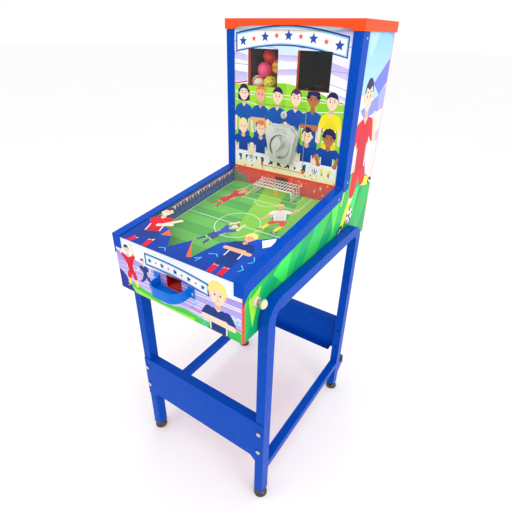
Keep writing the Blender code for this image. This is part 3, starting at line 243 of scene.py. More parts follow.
def wornRubber(start, tint, shade, look):
    wear = cloud(start, look["wearScale"], 5.0)
    colour = wear.mix(tint, shade)
    normal = bump(start, cloud(start, look["grainScale"], 3.0), look["grainDepth"], 0.8)
    return glossy(start, colour, wear * 0.2 + look["roughness"], normal)


def printedFilm(start, look):  # ink under a clear laminate, with a fine print screen
    colour = start.node("ShaderNodeAttribute", {"attribute_name": "ink"})
    screen = cells(start, look["screenScale"])
    uneven = cloud(start, look["unevenScale"], 4.0)
    rubbed = cloud(start, look["rubScale"], 5.0, look["rubStretch"]).above(*look["rubEdge"])
    colour = (screen * look["screen"]).mix(colour, (1, 1, 1, 1))
    colour = (uneven.above(*look["unevenEdge"]) * look["uneven"]).mix(colour, (0.02, 0.03, 0.08, 1))
    byUneven, byRub = look["roughBy"]
    rough = uneven * byUneven + rubbed * byRub + look["roughness"]
    normal = bump(start, cloud(start, look["waveScale"], 2.0), look["waveDepth"], look["waveStrength"])
    return glossy(start, colour, rough, normal, Coat_Weight=look["coat"], Coat_Roughness=look["coatRough"],
                  Specular_IOR_Level=look["sheen"])


def clearSheet(start, tint, look):  # a faint film, stronger at a grazing angle, with fine wipe marks
    edgeOn = start.node("ShaderNodeLayerWeight", None, {"Blend": look["blend"]}, 1)
    wipe = cloud(start, look["wipeScale"], 5.0, look["wipeStretch"], look["wipeTurn"])
    wipe = wipe.above(*look["wipeEdge"])
    alpha = edgeOn * look["edge"] + wipe * look["wipe"] + look["film"]
    normal = bump(start, cloud(start, look["waveScale"], 2.0), look["waveDepth"], look["waveStrength"])
    return glossy(start, tint, wipe * look["roughBy"] + look["roughness"], normal, Alpha=alpha)


finishes = {slot: newFinish(*row) for slot, row in {
    "blue_steel": ("royalBlueEnamel", powderCoat, "004ebe", "0046b2", enamel),
    "red_steel": ("orangeRedEnamel", powderCoat, "ff5828", "f84a20", enamel),
    "printed_panel": ("orangeRedBody", powderCoat, "ff5428", "f2451e", enamel),
    "field_print": ("fieldBoard", mouldedPlastic, "2f8f35", "2a8230", hardPlastic),
    "clear_acrylic": ("clearAcrylic", clearSheet, "eef6fb", acrylic),
    "zinc_casting": ("castZinc", platedSteel, "e2e4dc", "cfd2c8", castMetal),
    "fastener": ("zincPlate", platedSteel, "d9d9d2", "b9b9b0", drawnMetal),
    "spring_steel": ("springWire", platedSteel, "c9cbcc", "a5a8aa", drawnMetal),
    "dark_glide": ("darkNickel", platedSteel, "6f6252", "3c342c", dict(drawnMetal, roughness=0.14)),
    "black_rubber": ("blackTread", wornRubber, "1c1d20", "2b2c30", tread),
    "cream_plastic": ("creamPlastic", mouldedPlastic, "ece3c6", "ddd2ae", softPlastic),
    "tray_plastic": ("trayBlue", mouldedPlastic, "0074dc", "0068d0", hardPlastic),
    "red_plastic": ("darkRedPlastic", mouldedPlastic, "c8100c", "a00806", hardPlastic),
    "white_wire": ("whiteEnamel", powderCoat, "f6f3ec", "ebe6da", dict(enamel, dust=0.12)),
    "yellow_plastic": ("keeperYellow", mouldedPlastic, "f7d21e", "efc30e", softPlastic),
    "wheel_plastic": ("ivoryPlastic", mouldedPlastic, "ece9df", "dfdbce", hardPlastic),
    "ball_pink": ("pinkRubber", mouldedPlastic, "ff4a78", "f23c6c", softPlastic),
    "ball_orange": ("orangeRubber", mouldedPlastic, "ff7a2a", "f66a1c", softPlastic),
    "ball_yellow": ("yellowRubber", mouldedPlastic, "ffe23a", "f6d420", softPlastic),
}.items()}
binBoard = newFinish("greyBoard", mouldedPlastic, "5c5446", "4c453a", hardPlastic)
doorEnamel = newFinish("creamEnamel", powderCoat, "f8edc2", "efe0ac", enamel)
ownFinish = {"coin_door": doorEnamel, "ball_hopper": binBoard, "hopper_shelf": binBoard}
filmPrint = newFinish("printedFilm", printedFilm, filmLook)
fieldPrint = newFinish("fieldPrint", printedFilm, fieldLook)
ballPrint = newFinish("ballRubber", printedFilm, ballLook)
print("finishes made:", len(finishes) + 5)


softened = {  # node: (edge radius in metres, angle in degrees that still counts as smooth)
    "side_frame": (0.0012, 32), "side_rail": (0.0010, 30), "front_stretcher": (0.0008, 30),
    "rear_stretcher": (0.0008, 30), "stretcher_bolt": (0.0003, 25), "foot_front": (0.0, 50),
    "foot_rear": (0.0, 50), "wheel": (0.0006, 40), "wheel_bracket": (0.0006, 30), "wheel_axle": (0.0, 40),
    "rim_trim": (0.0008, 30),
    "post_trim": (0.0008, 30), "top_cap": (0.0010, 30), "ball_tray": (0.0006, 40), "outlet_chute": (0.0, 30),
    "button": (0.0, 50), "button_collar": (0.0, 50), "button_spring": (0.0, 60), "flipper": (0.0006, 35),
    "coin_mechanism": (0.0008, 32), "coin_handle": (0.0006, 32), "coin_door": (0.0004, 30),
    "lock_barrel": (0.0, 35), "drop_chute": (0.0, 60), "dispensing_wheel": (0.0, 35),
    "dispenser_axle": (0.0, 40), "goal": (0.0, 60), "goalkeeper": (0.0003, 30),
}
cleaning = {  # metres and degrees
    "merge": 2e-6, "sliver": 1e-6, "flatWithin": 0.6, "sharpPast": 4, "edgeSteps": 2, "flatWeight": 100,
}


def familyOf(name):  # foot_front_left belongs to foot_front
    while name not in softened and "_" in name:
        name = name.rsplit("_", 1)[0]
    return name


def finishOf(name):
    return ownFinish.get(name, finishes[slotOf[name]])


def softenedCopy(name, radius, angle):
    mesh = nodes[name].data.copy()
    mesh.name = name + "_form"
    shape = bmesh.new()
    shape.from_mesh(mesh)
    bmesh.ops.remove_doubles(shape, verts=shape.verts, dist=cleaning["merge"])
    bmesh.ops.dissolve_degenerate(shape, edges=shape.edges, dist=cleaning["sliver"])
    flatLimit = math.radians(cleaning["flatWithin"])
    bmesh.ops.dissolve_limit(shape, angle_limit=flatLimit, verts=shape.verts, edges=shape.edges)
    shape.to_mesh(mesh)
    shape.free()
    piece = addObject(name + "_form", mesh)
    mesh.shade_smooth()
    mesh.set_sharp_from_angle(angle=math.radians(angle + cleaning["sharpPast"]))
    if radius:
        edge = piece.modifiers.new("edge", "BEVEL")
        edge.width = radius
        edge.segments = cleaning["edgeSteps"]
        edge.limit_method = "ANGLE"
        edge.angle_limit = math.radians(angle)
        flat = piece.modifiers.new("flat", "WEIGHTED_NORMAL")  # broad faces stay flat beside rounded edges
        flat.weight = cleaning["flatWeight"]
        flat.keep_sharp = False
        bakeModifiers(piece)
    piece.data.materials.clear()
    piece.data.materials.append(finishOf(name))
    return piece


for name in sorted(nodes):
    nodes[name].data.materials.clear()
    nodes[name].data.materials.append(finishOf(name))
    family = familyOf(name)
    if family in softened:
        piece = softenedCopy(name, *softened[family])
        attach(piece, bodyOf[name])
        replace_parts(piece, name)
        if family == "button_spring":  # the spring shortens between the collar and the button's head; here its copy only gets a mesh of its own
            side = name.rsplit("_", 1)[1]
            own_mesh(piece)
print("frame dressed")


film = {  # metres: the printed film, its inks, and what counts as touching, doubled or too small
    "gap": 0.00002, "base": 0.00004, "stack": 0.00021, "step": 0.000008, "near": 1e-6, "touch": 2e-6,
    "closest": 2e-5, "smallest": 2e-8,
}


class Print:  # flat closed shapes in a panel's own plane, each with its ink and its layer
    def __init__(self):
        self.shapes = []
        self.settled = None

    def area(self, outline, tint, layer, foot=None):  # foot is the ink at its lower edge, where it fades
        self.shapes.append((list(outline), inked(tint), inked(foot or tint), layer))

    def areas(self, rows):
        for row in rows:
            self.area(*row)

    def stripe(self, a, b, wide, tint, layer, endWide=None):
        self.area(capsule(a, b, wide, endWide or wide, 3), tint, layer)

    def line(self, points, wide, tint, layer, endWide=None):  # every other stretch first, so few inks pile up
        for start in (0, 1):
            for a, b in list(zip(points, points[1:]))[start::2]:
                self.stripe(a, b, wide, tint, layer, endWide)

    def levels(self):  # each shape lies just above those that it covers, so no two faces share a plane
        if self.settled is None:
            order = sorted(range(len(self.shapes)), key=lambda index: self.shapes[index][3])
            outlines = [np.array(self.shapes[index][0]) for index in order]
            lows = np.array([outline.min(axis=0) for outline in outlines]) + film["near"]
            highs = np.array([outline.max(axis=0) for outline in outlines])
            heights = np.zeros(len(order), int)
            for at, outline in enumerate(outlines):
                near = np.all((lows[:at] < highs[at]) & (highs[:at] > lows[at]), axis=1)
                for other in sorted(np.nonzero(near)[0], key=lambda number: -heights[number]):
                    if heights[other] + 1 <= heights[at]:
                        break
                    if covers(outline, outlines[other]):
                        heights[at] = heights[other] + 1
                        break
            self.settled = [(self.shapes[index], int(height)) for index, height in zip(order, heights)]
            print("print stacked:", len(order), "shapes in", heights.max() + 1, "levels")
        return self.settled


def covers(first, second):  # false when some edge's direction separates the two outlines
    for outline in (first, second):
        edges = np.roll(outline, -1, axis=0) - outline
        lengths = np.maximum(np.hypot(edges[:, 0], edges[:, 1]), 1e-9)
        normals = np.stack((edges[:, 1], -edges[:, 0])) / lengths  # one column for each edge
        a, b = first @ normals, second @ normals
        apart = a.min(axis=0) > b.max(axis=0) - film["touch"]
        if np.any(apart | (b.min(axis=0) > a.max(axis=0) - film["touch"])):
            return False
    return True


def oval(x, y, rx, ry, count, turn=0.0):
    c, s = math.cos(turn), math.sin(turn)
    points = []
    for step in range(count):
        angle = 2 * math.pi * step / count
        u, v = rx * math.cos(angle), ry * math.sin(angle)
        points.append((x + u * c - v * s, y + u * s + v * c))
    return points


def slab(x0, y0, x1, y1):
    return [(x0, y0), (x1, y0), (x1, y1), (x0, y1)]


def capsule(a, b, ra, rb, count=6):  # a tapered bar with round ends
    along = math.atan2(b[1] - a[1], b[0] - a[0])
    points = []
    for centre, radius, start in ((b, rb, -0.5), (a, ra, 0.5)):
        for step in range(count + 1):
            angle = along + math.pi * (start + step / count)
            points.append((centre[0] + radius * math.cos(angle), centre[1] + radius * math.sin(angle)))
    return points


def starShape(x, y, radius, inner, turn=0.0):  # inner is the share of the radius that its notches reach
    points = []
    for step in range(10):
        reach = radius if step % 2 == 0 else radius * inner
        angle = turn + math.pi * step / 5
        points.append((x + reach * math.sin(angle), y + reach * math.cos(angle)))
    return points


def addRing(art, x, y, radius, width, tint, layer, start=0.0, end=360.0, count=40):  # a row of quads
    def at(step, reach):
        angle = math.radians(start + (end - start) * step / count)
        return (x + reach * math.cos(angle), y + reach * math.sin(angle))
    outer, inner = radius + width / 2, radius - width / 2
    for step in range(count):
        art.area([at(step, outer), at(step + 1, outer), at(step + 1, inner), at(step, inner)], tint, layer)


def clipped(outline, region):  # the part of an outline inside a convex region
    result = outline
    for index, corner in enumerate(region):
        following = region[(index + 1) % len(region)]
        edge = (following[0] - corner[0], following[1] - corner[1])

        def inside(point):
            return edge[0] * (point[1] - corner[1]) - edge[1] * (point[0] - corner[0])
        source, result = result, []
        for at, point in enumerate(source):
            before = source[at - 1]
            here, there = inside(point), inside(before)
            if (here >= 0) != (there >= 0):
                share = there / (there - here)
                result.append(tuple(before[axis] + (point[axis] - before[axis]) * share for axis in (0, 1)))
            if here >= 0:
                result.append(point)
        if len(result) < 3:
            return []
    return result


def signedArea(outline):
    return sum(a[0] * b[1] - b[0] * a[1] for a, b in zip(outline, outline[1:] + outline[:1])) / 2


def withoutDoubles(outline):
    kept = []
    for point in outline:
        if not kept or math.dist(point, kept[-1]) > film["closest"]:
            kept.append(point)
    while len(kept) > 2 and math.dist(kept[0], kept[-1]) <= film["closest"]:
        kept.pop()
    return kept


def layPrint(name, body, art, origin, axes, regions, material):  # axes: right, up and out of the panel
    origin, right, up, out = Vector(origin), *(Vector(axis) for axis in axes)
    turned = right.cross(up).dot(out) < 0
    points, faces, inks = [], [], []
    settled = art.levels()
    step = min(film["step"], film["stack"] / max(1, max(height for shape, height in settled)))
    for (outline, tint, foot, layer), level in settled:
        heights = [point[1] for point in outline]
        low, high = min(heights), max(heights)
        for region in regions:
            kept = withoutDoubles(clipped(outline, region))
            if len(kept) < 3 or abs(signedArea(kept)) < film["smallest"]:
                continue
            if (signedArea(kept) < 0) != turned:
                kept.reverse()
            start, count = len(points), len(kept)
            for rise in (film["gap"], film["base"] + level * step):
                for u, v in kept:
                    points.append(origin + right * u + up * v + out * rise)
                    share = (v - low) / (high - low) if high > low else 0
                    inks.append(blendInk(foot, tint, share))
            faces.append(list(range(start + count, start + 2 * count)))
            faces.append(list(range(start + count - 1, start - 1, -1)))
            for corner in range(count):
                after = (corner + 1) % count
                faces.append([start + corner, start + after, start + count + after, start + count + corner])
    mesh = bpy.data.meshes.new(name)
    mesh.from_pydata([tuple(point) for point in points], [], faces)
    paintPoints(mesh, inks)
    mesh.materials.append(material)
    mesh.validate()
    piece = addObject(name, mesh)
    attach(piece, body)
    print("printed", name, len(faces), "faces")


skins = {"fair": ink("ffdcc0"), "tan": ink("f0b48c"), "brown": ink("b9744c")}
hairs = {"navy": ink("262258"), "plum": ink("4a2f68"), "brown": ink("8a4a4e"), "blond": ink("f6e484"),
         "ginger": ink("e8823c")}
navy, royal, kitRed, kitYellow = ink("123a86"), ink("1c4fb4"), ink("e2122c"), ink("f8e628")
squadBlue, white, black = ink("1458b0"), ink("ffffff"), ink("1a1a2c")
crownArc = [math.radians(angle) for angle in range(0, 181, 15)]
headShapes = {  # outlines on a face of height 1, from its middle
    "neck": ((-0.13, -0.30), (0.13, -0.30), (0.15, -0.66), (-0.15, -0.66)),
    "longHair": ((-0.44, 0.2), (-0.46, -0.42), (-0.2, -0.5), (0.2, -0.5), (0.46, -0.42), (0.44, 0.2)),
    "brow": ((-0.07, -0.012), (0.07, -0.012), (0.07, 0.018), (-0.07, 0.018)),
    "nose": ((-0.015, 0.0), (0.02, 0.0), (0.045, -0.15), (-0.02, -0.15)),
    "mouth": ((-0.09, -0.23), (0.0, -0.26), (0.09, -0.23), (0.0, -0.285)),
    "crown": [(0.37 * math.cos(angle), 0.06 + 0.46 * math.sin(angle)) for angle in crownArc],
}
# half widths, half heights and how far each lies from the face's middle; jaw is how much the chin narrows
headSpots = {
    "ear": (0.07, 0.10, 0.35, -0.04), "eye": (0.035, 0.05, 0.13, -0.01), "brow": (0.13, 0.11),
    "face": (0.34, 0.44, 0.02), "jaw": 0.20, "curl": (0.13, 0.12, 0.33, 0.36, 0.14),
}
fringes = {
    "short": [(-0.30, 0.16), (-0.10, 0.24), (0.12, 0.20), (0.30, 0.14)],
    "swept": [(-0.30, 0.10), (-0.22, 0.26), (0.02, 0.16), (0.24, 0.28), (0.30, 0.10)],
    "long": [(-0.33, -0.05), (-0.24, 0.20), (0.0, 0.27), (0.24, 0.20), (0.33, -0.05)],
    "crop": [(-0.31, 0.22), (0.0, 0.30), (0.31, 0.22)],
}


def drawHead(art, x, y, h, skin, hair, style, turn, layer):  # x, y is the middle of the face
    c, s = math.cos(turn), math.sin(turn)

    def patch(outline, tint, up, u0=0.0, v0=0.0):
        moved = [(u0 + u, v0 + v) for u, v in outline]
        art.area([(x + (u * c - v * s) * h, y + (u * s + v * c) * h) for u, v in moved], tint, layer + up)
    shadow = blendInk(skin, ink("a04030"), 0.35)
    patch(headShapes["neck"], shadow, 0)
    if style == "long":
        patch(headShapes["longHair"], hair, 0)
    wide, tall, aside, up = headSpots["ear"]
    for side in (-1, 1):
        patch(oval(0, 0, wide, tall, 12), shadow, 1, side * aside, up)
    wide, tall, drop = headSpots["face"]
    face = []
    for step in range(24):
        angle = 2 * math.pi * step / 24
        jaw = 1.0 if math.sin(angle) > 0 else 1.0 - headSpots["jaw"] * math.sin(angle) ** 2
        face.append((wide * jaw * math.cos(angle), tall * math.sin(angle) - drop))
    patch(face, skin, 2)
    patch(headShapes["crown"] + fringes.get(style, fringes["short"]), hair, 3)
    if style == "curly":
        wide, tall, aside, over, up = headSpots["curl"]
        for step in (0, 2, 4, 6, 1, 3, 5):  # every other curl first, so few inks pile up
            angle = math.radians(step * 30)
            patch(oval(0, 0, wide, tall, 12), hair, 3, aside * math.cos(angle), up + over * math.sin(angle))
    wide, tall, aside, up = headSpots["eye"]
    browAside, browUp = headSpots["brow"]
    for side in (-1, 1):
        patch(oval(0, 0, wide, tall, 10), black, 4, side * aside, up)
        patch(headShapes["brow"], blendInk(hair, black, 0.3), 4, side * browAside, browUp)
    patch(headShapes["nose"], shadow, 4)
    patch(headShapes["mouth"], "b8453c", 4)


poses = {  # arms: elbow and hand, legs: knee and foot, each right then left, on a player of height 1
    "stand": {"arms": (((0.19, 0.60), (0.20, 0.44)), ((-0.19, 0.60), (-0.20, 0.44))),
              "legs": (((0.08, 0.24), (0.085, 0.03)), ((-0.08, 0.24), (-0.085, 0.03)))},
    "crossed": {"arms": (((0.20, 0.58), (-0.10, 0.585)), ((-0.20, 0.60), (0.10, 0.61))),
                "legs": (((0.08, 0.24), (0.085, 0.03)), ((-0.08, 0.24), (-0.085, 0.03)))},
    "kneel": {"arms": (((0.20, 0.60), (0.14, 0.42)), ((-0.20, 0.60), (-0.14, 0.42))),
              "legs": (((0.22, 0.40), (0.10, 0.20)), ((-0.22, 0.40), (-0.10, 0.20)))},
    "kick": {"arms": (((0.25, 0.66), (0.36, 0.80)), ((-0.22, 0.62), (-0.34, 0.50))),
             "legs": (((0.05, 0.25), (-0.12, 0.06)), ((-0.20, 0.33), (-0.36, 0.16)))},
    "run": {"arms": (((0.22, 0.60), (0.30, 0.72)), ((-0.24, 0.68), (-0.34, 0.58))),
            "legs": (((0.16, 0.30), (0.10, 0.08)), ((-0.14, 0.30), (-0.30, 0.22)))},
    "cheer": {"arms": (((0.24, 0.84), (0.18, 1.06)), ((-0.24, 0.84), (-0.30, 1.04))),
              "legs": (((0.10, 0.24), (0.08, 0.03)), ((-0.14, 0.26), (-0.20, 0.08)))},
    "stride": {"arms": (((0.27, 0.60), (0.20, 0.78)), ((-0.25, 0.62), (-0.16, 0.46))),
               "legs": (((0.13, 0.31), (0.32, 0.27)), ((-0.10, 0.24), (-0.255, 0.03)))},
    "reach": {"arms": (((0.10, 0.60), (0.30, 0.72)), ((0.02, 0.58), (0.22, 0.60))),
              "legs": (((0.10, 0.24), (0.06, 0.03)), ((-0.14, 0.26), (-0.26, 0.12)))},
    "dive": {"arms": (((0.20, 0.86), (0.10, 1.10)), ((-0.20, 0.86), (-0.12, 1.08))),
             "legs": (((0.10, 0.24), (0.16, 0.02)), ((-0.06, 0.24), (-0.10, 0.0)))},
}
figure = {  # on a player of height 1: half widths of each limb at both its ends, then places and outlines
    "thigh": (0.062, 0.045), "shortsLeg": (0.078, 0.070), "shin": (0.042, 0.030), "sock": (0.044, 0.034),
    "boot": (0.034, 0.024), "sole": (0.008, 0.008), "upperArm": (0.048, 0.036), "sleeve": (0.060, 0.055),
    "lowerArm": (0.036, 0.028), "fist": (0.034, 0.030), "hip": (0.06, 0.43), "shoulder": (0.125, 0.725),
    "neck": 0.80, "shortsTo": 0.75, "sockFrom": 0.3, "sleeveTo": 0.7, "bootTip": (0.055, -0.01),
    "soleTip": (0.05, -0.026), "fistTip": 0.02, "faceUp": 0.62, "faceSize": 1.05,
    "torso": ((-0.155, 0.73), (-0.12, 0.775), (-0.05, 0.79), (0.05, 0.79), (0.12, 0.775), (0.155, 0.73),
              (0.125, 0.58), (0.12, 0.42), (-0.12, 0.42), (-0.125, 0.58)),
    "collar": ((-0.05, 0.79), (0.05, 0.79), (0.0, 0.745)),
    "seams": (((-0.12, 0.60), (-0.100, 0.60), (-0.100, 0.43), (-0.12, 0.43)),
              ((0.100, 0.60), (0.12, 0.60), (0.12, 0.43), (0.100, 0.43))),
}


# kit: shirt, shorts and socks; person: skin, hair and its style; crouch shortens all below the neck
def drawPlayer(art, x, y, size, pose, kit, person, layer, wide, turn=0.0, head=0.2, crouch=1.0):
    shirt, shorts, socks = kit
    skin, hair, style = skins[person[0]], hairs[person[1]], person[2]
    boots = shorts if pose == "kneel" else black
    neck = figure["neck"]
    c, s = math.cos(turn), math.sin(turn)

    def at(u, v):
        u, v = u * wide, neck + (v - neck) * (crouch if v < neck else 1.0)
        return (x + (u * c - v * s) * size, y + (u * s + v * c) * size)

    def bar(a, b, part, tint, up):
        ra, rb = figure[part]
        art.area(capsule(at(*a), at(*b), ra * size * wide, rb * size * wide), tint, layer + up)

    def midway(a, b, share):
        return (a[0] + (b[0] - a[0]) * share, a[1] + (b[1] - a[1]) * share)

    def patch(outline, tint, up, foot=None):
        art.area([at(u, v) for u, v in outline], tint, layer + up, foot)
    for side, (knee, foot) in zip((1, -1), poses[pose]["legs"]):
        hip = (side * figure["hip"][0], figure["hip"][1])
        bar(hip, knee, "thigh", skin, 0)
        bar(hip, midway(hip, knee, figure["shortsTo"]), "shortsLeg", shorts, 2)
        bar(knee, foot, "shin", skin, 0)
        bar(midway(knee, foot, figure["sockFrom"]), foot, "sock", socks, 1)
        for part, tip, tint, up in (("boot", "bootTip", boots, 3), ("sole", "soleTip", white, 4)):
            bar(foot, (foot[0] + side * figure[tip][0], foot[1] + figure[tip][1]), part, tint, up)
    patch(figure["torso"], shirt, 4, blendInk(shirt, black, 0.25))
    patch(figure["collar"], blendInk(skin, black, 0.1), 5)
    for seam in figure["seams"]:
        patch(seam, blendInk(shirt, white, 0.75), 5)
    for side, (elbow, hand) in zip((1, -1), poses[pose]["arms"]):
        shoulder = (side * figure["shoulder"][0], figure["shoulder"][1])
        bar(shoulder, elbow, "upperArm", skin, 6)
        bar(shoulder, midway(shoulder, elbow, figure["sleeveTo"]), "sleeve", shirt, 7)
        bar(elbow, hand, "lowerArm", skin, 8)
        tip = 0 if pose == "crossed" else figure["fistTip"]
        bar(hand, (hand[0] + side * tip, hand[1]), "fist", skin, 9)
    middle = at(0, neck + head * figure["faceUp"])
    drawHead(art, *middle, size * head * figure["faceSize"], skin, hair, style, turn, layer + 10)


football = {"line": 1.06, "patch": 0.36, "outerPatch": 0.26, "seam": (0.34, 0.80), "seamWide": 0.035,
            "turn": 0.3}


def drawBall(art, x, y, radius, layer):  # a middle patch, and five more joined to it and cut by the rim
    line, patch, outer = (radius * football[key] for key in ("line", "patch", "outerPatch"))
    rim = oval(x, y, radius, radius, 28)
    art.area(oval(x, y, line, line, 28), blendInk(black, white, 0.3), layer)
    art.area(rim, white, layer + 1, blendInk(white, black, 0.18))
    art.area(oval(x, y, patch, patch, 5, football["turn"]), black, layer + 2)
    for step in range(5):
        angle = football["turn"] + 2 * math.pi * (step + 0.5) / 5 + math.pi / 5
        near, far = ((x + radius * reach * math.cos(angle), y + radius * reach * math.sin(angle))
                     for reach in football["seam"])
        art.stripe(near, far, radius * football["seamWide"], black, layer + 2)
        art.area(clipped(oval(*far, outer, outer, 5, angle), rim), black, layer + 2)


ribbon = {"borders": ((0.007, "1b3c8c"), (0.0035, "8fd0f4"), (0.0, "ffffff")), "steps": 20, "stars": 9,
          "bigStar": (0.40, "1d4fae"), "smallStar": (0.24, "f25a36"), "notch": 0.45}


def drawBanner(art, x0, x1, y, rise, height, slope, layer):  # an arched, empty ribbon with a row of stars
    middle, half = (x0 + x1) / 2, (x1 - x0) / 2

    def edge(share, drop):
        return (x0 + (x1 - x0) * share, y + slope * share + rise * math.sin(math.pi * share) - drop)
    shares = [step / ribbon["steps"] for step in range(ribbon["steps"] + 1)]
    for up, (grow, tint) in enumerate(ribbon["borders"]):
        outline = [edge(share, -grow) for share in shares]
        outline += [edge(share, height + grow) for share in reversed(shares)]
        outline = [(px + (-grow if px < middle else grow) * (abs(px - middle) / half), py)
                   for px, py in outline]
        art.area(outline, tint, layer + up)
    for step in range(ribbon["stars"]):
        px, py = edge((step + 0.5) / ribbon["stars"], height / 2)
        share, tint = ribbon["bigStar" if step % 2 == 0 else "smallStar"]
        art.area(starShape(px, py, height * share, ribbon["notch"]), tint, layer + 3)


cabinet = {  # metres, in the shared frame: the faces that carry artwork
    "frontFace": -0.3508, "halfWidth": 0.2077, "slope": math.radians(7.5), "rimFront": 0.838,
    "fieldDepth": 0.052, "coverAbove": 0.0497, "paneFront": 0.1468, "backInner": 0.3945,
    "doorFront": 0.1455, "postInner": 0.1828, "panInner": 0.1855, "trimDrop": 0.0340,
}
slopeSin, slopeCos = math.sin(cabinet["slope"]), math.cos(cabinet["slope"])
fieldBase = cabinet["rimFront"] - cabinet["fieldDepth"] / slopeCos
upright = ((1, 0, 0), (0, 0, 1), (0, -1, 0))
sloping = ((1, 0, 0), (0, slopeCos, slopeSin), (0, -slopeSin, slopeCos))


def onField(x, along, above):
    return Vector((x, along * slopeCos - above * slopeSin + cabinet["frontFace"],
                   fieldBase + along * slopeSin + above * slopeCos))


def layUpright(name, art, face, regions, body="root"):
    layPrint(name, body, art, (0, cabinet[face], 0), upright, regions, filmPrint)


def rimHeight(depth):
    return cabinet["rimFront"] + depth * math.tan(cabinet["slope"])


def sheetAround(x0, y0, x1, y1, holes):  # rectangles that fill a sheet and leave its holes open
    xs = sorted({x0, x1} | {value for hole in holes for value in (hole[0], hole[2]) if x0 < value < x1})
    regions = []
    for left, right in zip(xs, xs[1:]):
        middle = (left + right) / 2
        low = y0
        for bottom, top in sorted([(hole[1], hole[3]) for hole in holes if hole[0] < middle < hole[2]]):
            if bottom > low:
                regions.append(slab(left, low, right, bottom))
            low = top
        if low < y1:
            regions.append(slab(left, low, right, y1))
    return regions


team = {  # where each player stands, and how they look
    "backRow": [(-0.148, "stand", squadBlue, ("fair", "navy", "long")),
                (-0.087, "crossed", squadBlue, ("tan", "ginger", "crop")),
                (-0.027, "stand", squadBlue, ("fair", "navy", "short")),
                (0.034, "stand", royal, ("fair", "plum", "swept")),
                (0.089, "crossed", squadBlue, ("brown", "navy", "curly")),
                (0.146, "stand", kitYellow, ("fair", "navy", "short"))],
    "frontRow": [(-0.150, ("fair", "blond", "short")), (-0.083, ("fair", "ginger", "swept")),
                 (0.078, ("fair", "navy", "swept")), (0.147, ("brown", "navy", "curly"))],
    "frontKit": (ink("0a48a4"), ink("f3f3f8"), ink("f3f3f8")),
    "size": 0.228, "backFoot": 0.925, "frontFoot": 0.826, "crouch": 0.56,
}
confetti = {"seed": 11, "count": 34, "tints": ("e24a44", "23458e", "f3b78a", "f7d94a")}


def stadium(art):
    art.area(slab(-0.19, 0.90, 0.19, 1.325), "cfe6fb", 0, "f4f2ff")
    art.area([(-0.19, 1.27), (0.0, 1.225), (0.19, 1.27), (0.19, 1.15), (-0.19, 1.15)], "ece8fb", 1, "ffffff")
    for outline in ([(-0.19, 1.250), (-0.135, 1.238), (-0.135, 1.222), (-0.19, 1.228)],
                    [(-0.19, 1.196), (-0.135, 1.192), (-0.135, 1.166), (-0.19, 1.160)],
                    [(-0.034, 1.243), (0.034, 1.243), (0.034, 1.228), (-0.034, 1.228)],
                    [(-0.034, 1.205), (0.034, 1.210), (0.034, 1.194), (-0.034, 1.190)],
                    [(0.13, 1.300), (0.19, 1.322), (0.19, 1.282), (0.13, 1.268)],
                    [(0.13, 1.232), (0.19, 1.216), (0.19, 1.188), (0.13, 1.205)],
                    [(0.13, 1.165), (0.19, 1.146), (0.19, 1.140), (0.13, 1.158)]):
        art.area(outline, "c3b6ea", 2, "dcd3f6")
    for start, end in (((-0.19, 1.275), (-0.034, 1.258)), ((-0.19, 1.214), (-0.034, 1.212)),
                       ((0.034, 1.262), (0.19, 1.268)), ((0.034, 1.216), (0.19, 1.208)),
                       ((0.13, 1.18), (0.19, 1.165))):
        art.stripe(start, end, 0.0009, "a99be0", 3)
    pitch = [(-0.19, 1.1560), (-0.10, 1.1665), (0.0, 1.1715), (0.09, 1.1590), (0.19, 1.1260), (0.19, 0.90),
             (-0.19, 0.90)]
    art.area(pitch, "a6e13c", 4, "83d237")
    for left in (-0.20, -0.12, -0.04, 0.04, 0.12):
        mown = [(left * 0.8, 1.18), (left * 0.8 + 0.032, 1.18), (left + 0.042, 0.93), (left, 0.93)]
        art.area(clipped(mown, pitch[::-1]), "8ad42f", 5)
    art.stripe((-0.19, 1.1575), (-0.135, 1.1680), 0.0017, "e8303c", 6)
    art.stripe((0.130, 1.1500), (0.19, 1.1275), 0.0017, "e8303c", 6)
    xs = [-0.19 + 0.38 * step / 16 for step in range(17)]
    for height, dip in ((1.1400, 0.0), (1.1330, 0.0030), (1.1090, 0.012)):
        chalked = [(x, height - dip * math.cos(x * 12) - 0.020 * max(0.0, x - 0.02)) for x in xs]
        art.line(chalked, 0.0010, "f4ffe4", 6)
    edge = [(-0.19 + 0.38 * step / 24, 0.955 + 0.0045 * math.sin(step * 1.9)) for step in range(25)]
    art.area([(-0.19, 0.952)] + edge + [(0.19, 0.90), (-0.19, 0.90)], "fffad8", 7, "fdf3c4")
    dice = random.Random(confetti["seed"])
    for step in range(confetti["count"]):
        x, z = dice.uniform(-0.18, 0.18), dice.uniform(0.910, 0.946)
        size = dice.uniform(0.0018, 0.0036)
        tint = dice.choice(confetti["tints"])
        if step % 2:
            art.area(starShape(x, z, size, 0.55, dice.uniform(0, 1.2)), tint, 8)
        else:
            art.area(oval(x, z, size * 0.8, size * 0.8, 9), tint, 8)


def teamRows(art):
    for x, pose, shirt, person in team["backRow"]:
        kit = (shirt, blendInk(shirt, black, 0.12), shirt)
        drawPlayer(art, x, team["backFoot"], team["size"], pose, kit, person, 9, 0.70)
    for x, person in team["frontRow"]:
        drawPlayer(art, x, team["frontFoot"], team["size"], "kneel", team["frontKit"], person, 19, 0.78,
                   crouch=team["crouch"])
    for x, z in ((-0.118, 0.944), (0.112, 0.936)):
        drawBall(art, x, z, 0.0085, 20)


